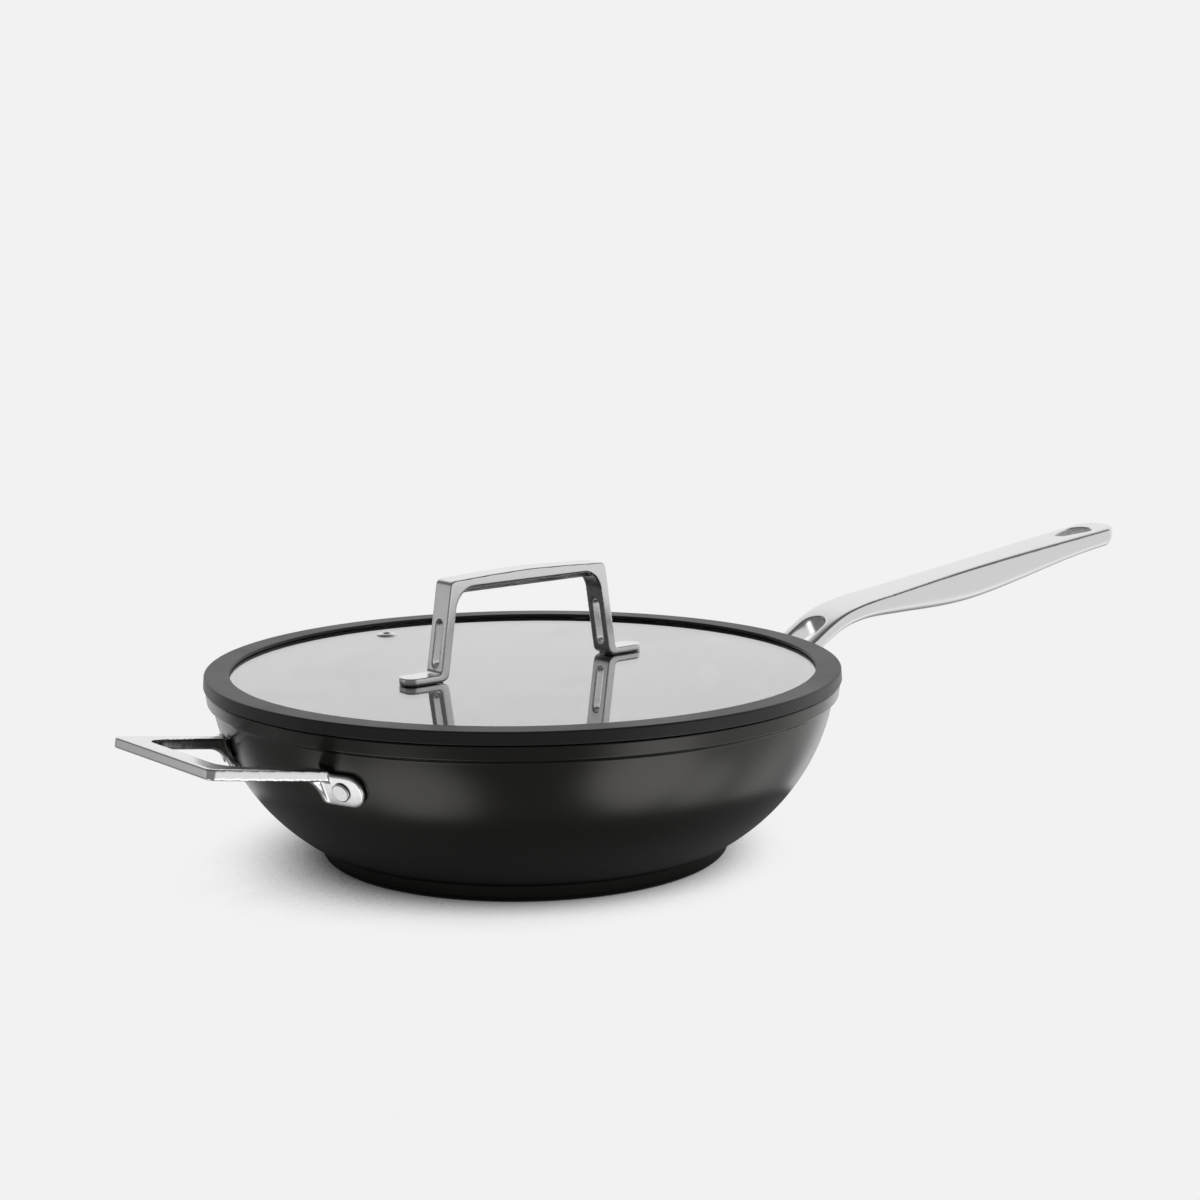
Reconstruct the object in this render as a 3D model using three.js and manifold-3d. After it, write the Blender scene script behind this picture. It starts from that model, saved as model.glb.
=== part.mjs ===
import * as THREE from 'three';
import { mergeVertices } from 'three/addons/utils/BufferGeometryUtils.js';
import Module from 'manifold-3d';

// A wok with a glass lid: a forged bowl with two riveted cast handles, and a lid with a soft rim.
// Millimetres, +Z up. The origin is the centre of the base, and the long handle points along +X.

// Shared
const FACETS = 60; // flats round every turned piece
const ARC_STEPS = 4; // curve divisions of every drawn outline
const FIT_GAP = 0.3; // clearance between pieces that meet

// Bowl
const RIM_RADIUS = 142.8;
const BOWL_HEIGHT = 79;
const WALL = 3.2;
const WALL_ARC = 91; // radius of the wall's curve in section, on its outside
const BAND_HEIGHT = 6.2;
const BAND_DRAFT = 0.8;
const BAND_STEP_HEIGHT = 1.6;
const BAND_OVERHANG = 3.4;
const FLOOR_THICKNESS = 5.5;
const FLOOR_BLEND = 12;
const FOOT_RADIUS = 92.5;
const FOOT_HEIGHT = 8.5;
const FOOT_STEP = 4;
const FOOT_ROUND = 2.5;
const FOOT_FILLET = 1.5;
const FOOT_LIP = 7;

// Induction plate, let into the underside
const PLATE_THICKNESS = 1.6;
const PLATE_PROUD = 0.4;
const PLATE_GROOVES = 2;
const PLATE_GROOVE_WIDTH = 3;
const PLATE_GROOVE_DEPTH = 0.4;

// Rivets
const RIVET_SHANK_RADIUS = 2.7;
const RIVET_HEAD_RADIUS = 4.2;
const RIVET_HEAD_HEIGHT = 0.8;
const RIVET_INNER_RADIUS = 6;
const RIVET_INNER_HEIGHT = 1.2;

// Long handle
const HANDLE_ROOT_DROP = 24.5; // from the rim down to where the top of the fork meets the wall
const KNEE_RUN = 62;
const KNEE_RISE = 34;
const GRIP_LENGTH = 214;
const GRIP_RISE = 23;
const GRIP_ARCH = 1.9;
const FORK_WIDTH = 26;
const KNEE_WIDTH = 24.6;
const WAIST_WIDTH = 20.4;
const END_WIDTH = 25;
const FORK_DEPTH = 9.5;
const BELLY_DEPTH = 18.5;
const END_DEPTH = 12.5;
const END_ROUND = 9;
const EYE_WIDTH = 13.6;
const EYE_LENGTH = 48;
const EYE_START = 14;
const SLOT_LENGTH = 33;
const SLOT_WIDTH = 15.5;
const SLOT_INSET = 12.8;
const MOUNT_WIDTH = 57;
const MOUNT_HEIGHT = 21;
const MOUNT_THICKNESS = 3.2;
const MOUNT_CORNER = 9;
const MOUNT_RIVET_SPREAD = 39;
const MOUNT_RIVET_DROP = 25;

// Helper handle
const HELPER_PROJECTION = 42.7; // out from the rim
const HELPER_DROP = 7; // from the rim down to the top of the crossbar
const HELPER_TILT = 9; // degrees, falling towards the bowl
const HELPER_SPLAY = 3.2; // degrees, each arm opening towards the bowl
const HELPER_WIDTH = 80;
const HELPER_THICKNESS = 4.7;
const HELPER_BAR = 10.5;
const HELPER_ARM = 8;
const HELPER_CORNER = 5;
const HELPER_INNER_CORNER = 10;
const LUG_THICKNESS = 2.4;
const LUG_HEIGHT = 14.8;
const LUG_OVERHANG = 10.4;
const LUG_CORNER = 7;
const HELPER_RIVET_SPREAD = 92;
const HELPER_RIVET_DROP = 23.2;
const GUSSET_RUN = 19;

// Lid
const RING_OVERHANG = 0.2; // out past the bowl's rim
const RING_HEIGHT = 5.5;
const RING_TOP_WIDTH = 11.2;
const RING_FLARE = 0.4;
const RING_EDGE = 0.9;
const RING_LIP_DROP = 3.6;
const RING_LIP_WIDTH = 6;
const RING_LIP_CLEARANCE = 0.7;
const GLASS_THICKNESS = 4;
const GLASS_RECESS = 2.3;
const GLASS_GRIP = 3; // how far the ring covers the edge of the glass
const VENT_INSET = 21.8; // in from the ring
const VENT_RADIUS = 4.9;
const VENT_TUBE_RADIUS = 3;
const VENT_BORE_RADIUS = 1.5;
const VENT_FLANGE = 0.8;

// Lid handle
const BRIDGE_HEIGHT = 45.9;
const BRIDGE_WIDTH = 11.5;
const BRIDGE_TOP_LENGTH = 87;
const BRIDGE_LEG_LENGTH = 99.5; // across the legs where they meet the feet
const BRIDGE_FOOT_LENGTH = 133.5;
const BRIDGE_BAR = 4.2;
const BRIDGE_SWELL = 3; // how far the bar's underside is rounded down
const BRIDGE_LEG = 4;
const BRIDGE_CROWN = 2;
const BRIDGE_CROWN_RADIUS = 440;
const FOOT_PAD = 3.2;
const FOOT_PAD_CORNER = 4.5;
const BRIDGE_INNER_CORNER = 11;
const BRIDGE_OUTER_CORNER = 2.6;
const LEG_SLOT_WIDTH = 4.8;
const LEG_SLOT_LENGTH = 21;
const LEG_SLOT_LIFT = 2.4;
const GASKET = 0.8;
const GASKET_INSET = 0.5;
const SCREW_INSET = 8; // in from the end of the foot
const SCREW_RADIUS = 2;
const SCREW_HEAD_RADIUS = 4;
const SCREW_HEAD_HEIGHT = 2.2;
const SCREW_GRIP = 2.1;
const WASHER_RADIUS = 5.6;
const WASHER_THICKNESS = 0.8;
const SEAL_RADIUS = 6.2;
const SEAL_THICKNESS = 1.2;

const wasm = await Module();
wasm.setup();

const finish = (color, roughness, metalness) =>
  new THREE.MeshStandardMaterial({ color, roughness, metalness });
const graphite = finish(0x24221f, 0.38, 0.4);
const baseSteel = finish(0x9a9894, 0.35, 1);
const castSteel = finish(0xc9c9c7, 0.3, 1);
const rivetSteel = finish(0xbfbfbd, 0.28, 1);
const silicone = finish(0x2a2a2a, 0.75, 0);
const glass = finish(0x9aa0a0, 0.05, 0);
glass.transparent = true;
glass.opacity = 0.45;

const wok = new THREE.Group();

function addPiece(name, geometry, material) {
  const piece = new THREE.Mesh(geometry, material);
  piece.name = name;
  wok.add(piece);
  return piece;
}

// Solids

function closedMesh(geometry) {
  const bare = new THREE.BufferGeometry();
  bare.setAttribute('position', geometry.getAttribute('position'));
  bare.setIndex(geometry.index);
  const merged = mergeVertices(bare, 1e-4);
  const corners = merged.index.array;
  const kept = [];
  for (let i = 0; i < corners.length; i += 3) {
    const [a, b, c] = corners.slice(i, i + 3);
    if (a !== b && b !== c && c !== a) kept.push(a, b, c);
  }
  merged.setIndex(kept);
  return merged;
}

function solid(geometry) {
  const closed = closedMesh(geometry);
  return new wasm.Manifold(new wasm.Mesh({
    numProp: 3,
    vertProperties: Float32Array.from(closed.getAttribute('position').array),
    triVerts: Uint32Array.from(closed.index.array),
  }));
}

function fromSolid(body) {
  const mesh = body.getMesh();
  const geometry = new THREE.BufferGeometry();
  geometry.setAttribute('position', new THREE.BufferAttribute(Float32Array.from(mesh.vertProperties), 3));
  geometry.setIndex(Array.from(mesh.triVerts));
  geometry.computeVertexNormals();
  return geometry;
}

// Drawing helpers

const flat = (x, y) => new THREE.Vector2(x, y);

// A closed outline from corners [x, y, radius], each rounded as far as its sides allow.
function filletedShape(corners) {
  const shape = new THREE.Shape();
  const points = corners.map(([x, y]) => flat(x, y));
  points.forEach((corner, i) => {
    const before = points.at(i - 1).clone().sub(corner);
    const after = points[(i + 1) % points.length].clone().sub(corner);
    const room = Math.min(before.length(), after.length()) / 2;
    before.normalize();
    after.normalize();
    const half = Math.acos(before.dot(after)) / 2;
    const radius = Math.min(corners[i][2], room * Math.tan(half));
    const start = corner.clone().addScaledVector(before, radius / Math.tan(half));
    if (i === 0) shape.moveTo(start.x, start.y);
    else shape.lineTo(start.x, start.y);
    if (radius > 0) {
      const end = corner.clone().addScaledVector(after, radius / Math.tan(half));
      const bisector = before.clone().add(after).setLength(radius / Math.sin(half));
      const middle = corner.clone().add(bisector);
      const from = start.sub(middle).angle();
      const to = end.sub(middle).angle();
      shape.absarc(middle.x, middle.y, radius, from, to, before.cross(after) > 0);
    }
  });
  shape.closePath();
  return shape;
}

// An outline pulled along its normal, half of the depth each way.
function extruded(shape, depth) {
  const geometry = new THREE.ExtrudeGeometry(shape, { depth, bevelEnabled: false, curveSegments: ARC_STEPS });
  return geometry.translate(0, 0, -depth / 2);
}

// A profile of [radius, height] points turned round the Z axis.
function turned(profile) {
  return new THREE.LatheGeometry(profile, FACETS).rotateX(Math.PI / 2);
}

// A round bar on the Z axis, half of its height each way.
const upright = (radius, height) =>
  new THREE.CylinderGeometry(radius, radius, height, FACETS / 3).rotateX(Math.PI / 2);

const ringProfile = (corners) => [...corners, corners[0]].map(([r, z]) => flat(r, z));

// Rings of points joined in order and closed at both ends.
function lofted(rings) {
  const count = rings[0].length;
  const points = rings.flat();
  const faces = [];
  for (let i = 0; i + 1 < rings.length; i += 1) {
    for (let j = 0; j < count; j += 1) {
      const a = i * count + j;
      const b = i * count + ((j + 1) % count);
      faces.push(a, b, b + count, a, b + count, a + count);
    }
  }
  const last = (rings.length - 1) * count;
  for (let j = 1; j + 1 < count; j += 1) {
    faces.push(0, j + 1, j, last, last + j, last + j + 1);
  }
  const geometry = new THREE.BufferGeometry().setFromPoints(points);
  geometry.setIndex(faces);
  return geometry;
}

const axisX = new THREE.Vector3(1, 0, 0);
const axisY = new THREE.Vector3(0, 1, 0);
const axisZ = new THREE.Vector3(0, 0, 1);
const sideOn = new THREE.Matrix4().makeBasis(axisX, axisZ, axisY.clone().negate());
const endOn = new THREE.Matrix4().makeBasis(axisY, axisZ, axisX);

// The wall's curve: an arc from the step under the band to the step above the foot.
const wallTop = flat(RIM_RADIUS - BAND_OVERHANG, BOWL_HEIGHT - BAND_HEIGHT - BAND_STEP_HEIGHT);
const wallBottom = flat(FOOT_RADIUS + FOOT_STEP, FOOT_HEIGHT);
const wallChord = wallTop.clone().sub(wallBottom);
const arcHeight = Math.sqrt(WALL_ARC ** 2 - (wallChord.length() / 2) ** 2);
const wallCentre = wallTop.clone().add(wallBottom).multiplyScalar(0.5)
  .add(flat(-wallChord.y, wallChord.x).setLength(arcHeight));

// How far the wall leans out at a height: at most level, which it is at the lowest point of its curve.
const wallLean = (height, offset = 0) =>
  Math.asin(Math.min(1, (wallCentre.y - height) / (WALL_ARC + offset)));
const wallRadius = (height, offset = 0) =>
  wallCentre.x + (WALL_ARC + offset) * Math.cos(wallLean(height, offset));

// Axes on the wall's outside at an angle and height: along the wall, up the wall and straight out of it.
function wallFrame(angle, height) {
  const lean = wallLean(height);
  const out = new THREE.Vector3(Math.cos(lean), 0, -Math.sin(lean)).applyAxisAngle(axisZ, angle);
  const along = new THREE.Vector3(-Math.sin(angle), Math.cos(angle), 0);
  const place = new THREE.Vector3(wallRadius(height), 0, height).applyAxisAngle(axisZ, angle);
  return new THREE.Matrix4().makeBasis(along, out.clone().cross(along), out).setPosition(place);
}

// A solid that fills the bowl's wall and everything inside it, grown by an offset.
function bowlFill(offset) {
  const low = wallBottom.y;
  const high = BOWL_HEIGHT - BAND_HEIGHT;
  const curve = new THREE.Path().moveTo(0, low).lineTo(wallRadius(low, offset), low);
  const from = -wallLean(low, offset);
  const to = -wallLean(high, offset);
  curve.absarc(wallCentre.x, wallCentre.y, WALL_ARC + offset, from, to);
  curve.lineTo(0, high);
  return solid(turned(curve.getPoints(ARC_STEPS * 2)));
}

const bowlClear = bowlFill(FIT_GAP);

// A plate of even thickness that lies on the wall, with an outline drawn in the wall's frame.
function wallPlate(outline, frame, thickness) {
  const skin = bowlFill(FIT_GAP + thickness).subtract(bowlClear);
  const reach = outline.getPoints().reduce((most, point) => Math.max(most, point.length()), 0);
  return skin.intersect(solid(extruded(outline, reach).applyMatrix4(frame)));
}

// Rivets

const mountHeight = BOWL_HEIGHT - MOUNT_RIVET_DROP;
const lugHeight = BOWL_HEIGHT - HELPER_RIVET_DROP;
const mountAngle = Math.asin(MOUNT_RIVET_SPREAD / 2 / wallRadius(mountHeight));
const helperAngle = Math.asin(HELPER_RIVET_SPREAD / 2 / wallRadius(lugHeight));
const rivets = [
  ['long_handle_rivet_near', -mountAngle, mountHeight, MOUNT_THICKNESS],
  ['long_handle_rivet_far', mountAngle, mountHeight, MOUNT_THICKNESS],
  ['helper_rivet_near', Math.PI + helperAngle, lugHeight, LUG_THICKNESS],
  ['helper_rivet_far', Math.PI - helperAngle, lugHeight, LUG_THICKNESS],
].map(([name, angle, height, grip]) => ({ name, grip, frame: wallFrame(angle, height) }));

function rivetHole(frame) {
  const length = 4 * (WALL + MOUNT_THICKNESS);
  return solid(upright(RIVET_SHANK_RADIUS + FIT_GAP, length).applyMatrix4(frame));
}

function rivet({ name, grip, frame }) {
  const sag = RIVET_INNER_RADIUS ** 2 / (2 * (WALL_ARC - WALL));
  const inside = -WALL - FIT_GAP - sag;
  const outside = grip + 2 * FIT_GAP;
  const dome = RIVET_HEAD_HEIGHT / 2;
  const profile = [
    [0, inside - RIVET_INNER_HEIGHT],
    [RIVET_INNER_RADIUS - dome, inside - RIVET_INNER_HEIGHT],
    [RIVET_INNER_RADIUS, inside - dome],
    [RIVET_INNER_RADIUS, inside],
    [RIVET_SHANK_RADIUS, inside],
    [RIVET_SHANK_RADIUS, outside],
    [RIVET_HEAD_RADIUS, outside],
    [RIVET_HEAD_RADIUS, outside + dome],
    [RIVET_HEAD_RADIUS - dome, outside + RIVET_HEAD_HEIGHT],
    [0, outside + RIVET_HEAD_HEIGHT],
  ].map(([r, z]) => flat(r, z));
  const shape = new THREE.LatheGeometry(profile, FACETS / 3).rotateX(Math.PI / 2);
  addPiece(name, shape, rivetSteel).applyMatrix4(frame);
}

// Bowl and base

const plateRadius = FOOT_RADIUS - FOOT_LIP;

function bowl() {
  const blendTop = FLOOR_THICKNESS + FLOOR_BLEND / 2;
  const floorEdge = wallRadius(FLOOR_THICKNESS, -WALL);
  const plateSeat = PLATE_THICKNESS;
  const curve = new THREE.Path().moveTo(0, plateSeat);
  curve.lineTo(plateRadius + FIT_GAP, plateSeat);
  curve.lineTo(plateRadius + FIT_GAP, PLATE_PROUD);
  curve.lineTo(FOOT_RADIUS - FOOT_ROUND, PLATE_PROUD);
  curve.quadraticCurveTo(FOOT_RADIUS, PLATE_PROUD, FOOT_RADIUS, PLATE_PROUD + FOOT_ROUND);
  curve.lineTo(FOOT_RADIUS, FOOT_HEIGHT - FOOT_FILLET);
  curve.lineTo(FOOT_RADIUS + FOOT_FILLET, FOOT_HEIGHT);
  curve.lineTo(wallBottom.x, wallBottom.y);
  curve.absarc(wallCentre.x, wallCentre.y, WALL_ARC, -wallLean(wallBottom.y), -wallLean(wallTop.y));
  curve.lineTo(RIM_RADIUS - BAND_DRAFT, BOWL_HEIGHT - BAND_HEIGHT);
  curve.lineTo(RIM_RADIUS, BOWL_HEIGHT);
  curve.lineTo(wallRadius(BOWL_HEIGHT, -WALL), BOWL_HEIGHT);
  const innerTop = -wallLean(BOWL_HEIGHT, -WALL);
  const innerFoot = -wallLean(blendTop, -WALL);
  curve.absarc(wallCentre.x, wallCentre.y, WALL_ARC - WALL, innerTop, innerFoot, true);
  curve.quadraticCurveTo(floorEdge, FLOOR_THICKNESS, floorEdge - FLOOR_BLEND, FLOOR_THICKNESS);
  curve.lineTo(0, FLOOR_THICKNESS);
  let body = solid(turned(curve.getPoints(ARC_STEPS)));
  for (const { frame } of rivets) body = body.subtract(rivetHole(frame));
  addPiece('wok_body', fromSolid(body), graphite);
}

function inductionPlate() {
  const pitch = plateRadius / (PLATE_GROOVES + 1);
  const profile = [flat(0, 0)];
  for (let i = 1; i <= PLATE_GROOVES; i += 1) {
    const start = i * pitch - PLATE_GROOVE_WIDTH / 2;
    profile.push(flat(start, 0), flat(start, PLATE_GROOVE_DEPTH));
    profile.push(flat(start + PLATE_GROOVE_WIDTH, PLATE_GROOVE_DEPTH), flat(start + PLATE_GROOVE_WIDTH, 0));
  }
  profile.push(flat(plateRadius, 0), flat(plateRadius, PLATE_THICKNESS), flat(0, PLATE_THICKNESS));
  addPiece('induction_base_plate', turned(profile), baseSteel);
}

// Long handle

function longHandle() {
  const rootHeight = BOWL_HEIGHT - HANDLE_ROOT_DROP;
  const root = flat(wallRadius(rootHeight), rootHeight);
  const knee = flat(root.x + KNEE_RUN, root.y + KNEE_RISE);
  const sunk = flat(KNEE_RUN, KNEE_RISE).setLength(MOUNT_THICKNESS * 3);
  const grip = (f) => flat(
    knee.x + (GRIP_LENGTH - END_ROUND) * f,
    knee.y + GRIP_RISE * f + GRIP_ARCH * 4 * f * (1 - f),
  );
  const line = new THREE.SplineCurve([
    root.clone().sub(sunk),
    root,
    root.clone().lerp(knee, 0.5),
    root.clone().lerp(knee, 0.88),
    ...[0.06, 0.2, 0.4, 0.6, 0.8, 1].map(grip),
  ]);
  const waistAt = 0.45;
  const bellyAt = 0.54;
  const ease = THREE.MathUtils.smoothstep;
  const blend = THREE.MathUtils.lerp;
  const width = (f) => (f < 0
    ? blend(KNEE_WIDTH, FORK_WIDTH, Math.min(1, -f * 4))
    : blend(blend(KNEE_WIDTH, WAIST_WIDTH, ease(f, 0, waistAt)), END_WIDTH, ease(f, waistAt, 1)));
  const depth = (f) =>
    blend(blend(FORK_DEPTH, BELLY_DEPTH, ease(f, 0, bellyAt)), END_DEPTH, ease(f, bellyAt, 1));

  // One section: a flat top with a rounded belly under it.
  const sides = 12;
  const section = (place, tangent, halfWidth, deep) => {
    const ring = [];
    for (let i = 0; i <= sides; i += 1) {
      const turn = (Math.PI * i) / sides;
      const across = -halfWidth * Math.sign(Math.cos(turn)) * Math.abs(Math.cos(turn)) ** 0.8;
      const down = deep * Math.sin(turn) ** 0.8;
      ring.push(new THREE.Vector3(place.x + tangent.y * down, across, place.y - tangent.x * down));
    }
    return ring;
  };
  const stations = 28;
  const rings = [];
  for (let i = 0; i <= stations; i += 1) {
    const t = i / stations;
    const place = line.getPoint(t);
    const f = (place.x - knee.x) / (GRIP_LENGTH - END_ROUND);
    rings.push(section(place, line.getTangent(t), width(f) / 2, depth(f)));
  }
  const tip = line.getPoint(1);
  const ahead = line.getTangent(1);
  for (const turn of [0.3, 0.6, 0.9, 1.15, 1.35]) {
    const place = tip.clone().addScaledVector(ahead, END_ROUND * Math.sin(turn));
    const shrink = 1 - Math.cos(turn);
    rings.push(section(place, ahead, END_WIDTH / 2 - END_ROUND * shrink, END_DEPTH * (1 - shrink / 2)));
  }
  let body = solid(lofted(rings));

  // The eye between the fork's prongs, drawn along the fork.
  const slope = Math.atan2(KNEE_RISE, KNEE_RUN);
  const alongFork = new THREE.Vector3(Math.cos(slope), 0, Math.sin(slope));
  const forkFrame = new THREE.Matrix4().makeBasis(alongFork, axisY, alongFork.clone().cross(axisY));
  forkFrame.setPosition(root.x, 0, root.y);
  const eyeEnd = EYE_START + EYE_LENGTH;
  const eye = filletedShape([
    [EYE_START, -EYE_WIDTH / 2, EYE_WIDTH / 2],
    [eyeEnd, -EYE_WIDTH / 2, EYE_WIDTH / 2],
    [eyeEnd, EYE_WIDTH / 2, EYE_WIDTH / 2],
    [EYE_START, EYE_WIDTH / 2, EYE_WIDTH / 2],
  ]);
  body = body.subtract(solid(extruded(eye, FORK_DEPTH * 6).applyMatrix4(forkFrame)));

  // The hanging slot: pointed towards the bowl and round at the end.
  const slotEnd = knee.x + GRIP_LENGTH - SLOT_INSET;
  const slot = filletedShape([
    [slotEnd - SLOT_LENGTH, 0, SLOT_WIDTH / 7],
    [slotEnd, -SLOT_WIDTH * 0.55, SLOT_WIDTH * 0.45],
    [slotEnd, SLOT_WIDTH * 0.55, SLOT_WIDTH * 0.45],
  ]);
  body = body.subtract(solid(extruded(slot, BELLY_DEPTH * 6).translate(0, 0, tip.y)));

  const mount = filletedShape([
    [-MOUNT_WIDTH / 2, -MOUNT_HEIGHT / 2, MOUNT_CORNER],
    [MOUNT_WIDTH / 2, -MOUNT_HEIGHT / 2, MOUNT_CORNER],
    [MOUNT_WIDTH / 2, MOUNT_HEIGHT / 2, MOUNT_CORNER],
    [-MOUNT_WIDTH / 2, MOUNT_HEIGHT / 2, MOUNT_CORNER],
  ]);
  body = body.add(wallPlate(mount, wallFrame(0, mountHeight), MOUNT_THICKNESS)).subtract(bowlClear);
  for (const { frame } of rivets.slice(0, 2)) body = body.subtract(rivetHole(frame));
  addPiece('long_handle', fromSolid(body), castSteel);
}

// Helper handle

function helperHandle() {
  const tilt = THREE.MathUtils.degToRad(HELPER_TILT);
  const inward = new THREE.Vector3(Math.cos(tilt), 0, -Math.sin(tilt));
  const loopFrame = new THREE.Matrix4().makeBasis(inward, axisY, inward.clone().cross(axisY));
  const reach = RIM_RADIUS + HELPER_PROJECTION;
  const top = BOWL_HEIGHT - HELPER_DROP;
  loopFrame.setPosition(-reach, 0, top);
  const half = HELPER_WIDTH / 2;
  const gap = half - HELPER_ARM;
  const run = reach - wallCentre.x;
  const opening = Math.tan(THREE.MathUtils.degToRad(HELPER_SPLAY));
  const splay = (along) => along * opening;
  const loop = filletedShape([
    [0, -half, HELPER_CORNER],
    [run, -half - splay(run), 0],
    [run, -gap - splay(run), 0],
    [HELPER_BAR, -gap, HELPER_INNER_CORNER],
    [HELPER_BAR, gap, HELPER_INNER_CORNER],
    [run, gap + splay(run), 0],
    [run, half + splay(run), 0],
    [0, half, HELPER_CORNER],
  ]);
  const plate = extruded(loop, HELPER_THICKNESS).translate(0, 0, -HELPER_THICKNESS / 2);
  let body = solid(plate.applyMatrix4(loopFrame));

  // Under each arm a curved web runs down to the foot of its lug.
  const lugFoot = lugHeight - (LUG_HEIGHT / 2) * Math.cos(wallLean(lugHeight));
  const armSide = half + splay(HELPER_PROJECTION);
  const webFoot = -Math.sqrt(wallRadius(lugFoot, LUG_THICKNESS) ** 2 - armSide ** 2);
  const webStart = webFoot - GUSSET_RUN;
  const webBack = webFoot + 2 * HELPER_ARM;
  const armHeight = (x, depth) => top - (x + reach) * Math.tan(tilt) - depth / Math.cos(tilt);
  const underArm = (x) => armHeight(x, HELPER_THICKNESS);
  const web = new THREE.Shape().moveTo(webFoot, lugFoot);
  web.quadraticCurveTo(webFoot, underArm(webFoot), webStart, underArm(webStart));
  web.lineTo(webStart, armHeight(webStart, HELPER_THICKNESS / 2));
  web.lineTo(webBack, armHeight(webBack, HELPER_THICKNESS / 2));
  web.lineTo(webBack, lugFoot);
  web.closePath();
  for (const side of [-1, 1]) {
    const place = side * (armSide - HELPER_ARM / 2);
    const alongArm = new THREE.Matrix4().makeShear(side * opening, 0, 0, 0, 0, 0);
    const shape = extruded(web, HELPER_ARM).applyMatrix4(sideOn).translate(RIM_RADIUS, place, 0);
    body = body.add(solid(shape.applyMatrix4(alongArm).translate(-RIM_RADIUS, 0, 0)));
  }
  body = body.subtract(bowlFill(FIT_GAP + LUG_THICKNESS / 2));

  // Each lug lies on the wall, from under its arm out past the rivet.
  const lugInner = HELPER_RIVET_SPREAD / 2 - armSide + HELPER_ARM;
  const lug = (side) => filletedShape([
    [-side * lugInner, -side * LUG_HEIGHT / 2, LUG_CORNER / 4],
    [side * LUG_OVERHANG, -side * LUG_HEIGHT / 2, LUG_CORNER],
    [side * LUG_OVERHANG, side * LUG_HEIGHT / 2, LUG_CORNER],
    [-side * lugInner, side * LUG_HEIGHT / 2, LUG_CORNER / 4],
  ]);
  for (const [side, { frame }] of [[1, rivets[2]], [-1, rivets[3]]]) {
    body = body.add(wallPlate(lug(side), frame, LUG_THICKNESS)).subtract(rivetHole(frame));
  }
  addPiece('helper_handle', fromSolid(body), castSteel);
}

// Lid

const ringFoot = BOWL_HEIGHT + FIT_GAP;
const ringTop = ringFoot + RING_HEIGHT;
const glassTop = ringTop - GLASS_RECESS;
const glassFoot = glassTop - GLASS_THICKNESS;
const ringRadius = RIM_RADIUS + RING_OVERHANG;
const ringInner = ringRadius - RING_TOP_WIDTH;
const glassRadius = ringInner + GLASS_GRIP;
const ventPlace = ringInner - VENT_INSET;
const screwPlace = BRIDGE_FOOT_LENGTH / 2 - SCREW_INSET;
const screwPlaces = [['left', -screwPlace], ['right', screwPlace]];

function lidGlass() {
  const edge = GLASS_THICKNESS / 4;
  const profile = [
    [0, glassFoot],
    [glassRadius - edge, glassFoot],
    [glassRadius, glassFoot + edge],
    [glassRadius, glassTop - edge],
    [glassRadius - edge, glassTop],
    [0, glassTop],
  ].map(([r, z]) => flat(r, z));
  let body = solid(turned(profile));
  const drill = (x, y, radius) => solid(upright(radius, GLASS_THICKNESS * 3).translate(x, y, glassTop));
  for (const [, x] of screwPlaces) body = body.subtract(drill(x, 0, SCREW_RADIUS + 2 * FIT_GAP));
  body = body.subtract(drill(0, ventPlace, VENT_TUBE_RADIUS + FIT_GAP));
  addPiece('lid_glass', fromSolid(body), glass);
}

// The soft ring grips the glass in a groove, rests on the rim and drops a lip inside it.
function lidRing() {
  const groove = glassRadius + FIT_GAP;
  const lipFoot = ringFoot - RING_LIP_DROP;
  const lipOuter = wallRadius(lipFoot, -WALL) - RING_LIP_CLEARANCE;
  const lipInner = lipOuter - RING_LIP_WIDTH;
  addPiece('lid_rim', turned(ringProfile([
    [lipInner + RING_EDGE, lipFoot],
    [lipOuter - RING_EDGE, lipFoot],
    [lipOuter, lipFoot + RING_EDGE],
    [lipOuter, ringFoot],
    [ringRadius + RING_FLARE, ringFoot],
    [ringRadius, ringTop - RING_EDGE],
    [ringRadius - RING_EDGE, ringTop],
    [ringInner + RING_EDGE / 3, ringTop],
    [ringInner, ringTop - RING_EDGE / 3],
    [ringInner, glassTop + FIT_GAP],
    [groove, glassTop + FIT_GAP],
    [groove, glassFoot - FIT_GAP],
    [lipInner, glassFoot - FIT_GAP],
    [lipInner, lipFoot + RING_EDGE],
  ])), silicone);
}

function steamVent() {
  const shape = new THREE.LatheGeometry(ringProfile([
    [VENT_BORE_RADIUS, glassFoot - VENT_FLANGE],
    [VENT_RADIUS * 0.9, glassFoot - VENT_FLANGE],
    [VENT_RADIUS * 0.9, glassFoot],
    [VENT_TUBE_RADIUS, glassFoot],
    [VENT_TUBE_RADIUS, glassTop],
    [VENT_RADIUS, glassTop],
    [VENT_RADIUS, glassTop + VENT_FLANGE / 2],
    [VENT_RADIUS - VENT_FLANGE, glassTop + VENT_FLANGE],
    [VENT_TUBE_RADIUS, glassTop + VENT_FLANGE],
    [VENT_BORE_RADIUS, glassTop],
  ]), FACETS / 3).rotateX(Math.PI / 2);
  addPiece('steam_vent', shape, rivetSteel).position.set(0, ventPlace, 0);
}

// Lid handle: a cast bridge on two feet, with a long slot through each leg.

const bridgeFoot = glassTop + GASKET;

const footOutline = (inset) => {
  const inner = BRIDGE_LEG_LENGTH / 2 - BRIDGE_LEG / 2 + inset;
  const outer = BRIDGE_FOOT_LENGTH / 2 - inset;
  const side = BRIDGE_WIDTH / 2 - inset;
  return (turn) => filletedShape([
    [turn * inner, -turn * side, 0.5],
    [turn * outer, -turn * side, FOOT_PAD_CORNER],
    [turn * outer, turn * side, FOOT_PAD_CORNER],
    [turn * inner, turn * side, 0.5],
  ]);
};

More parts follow.
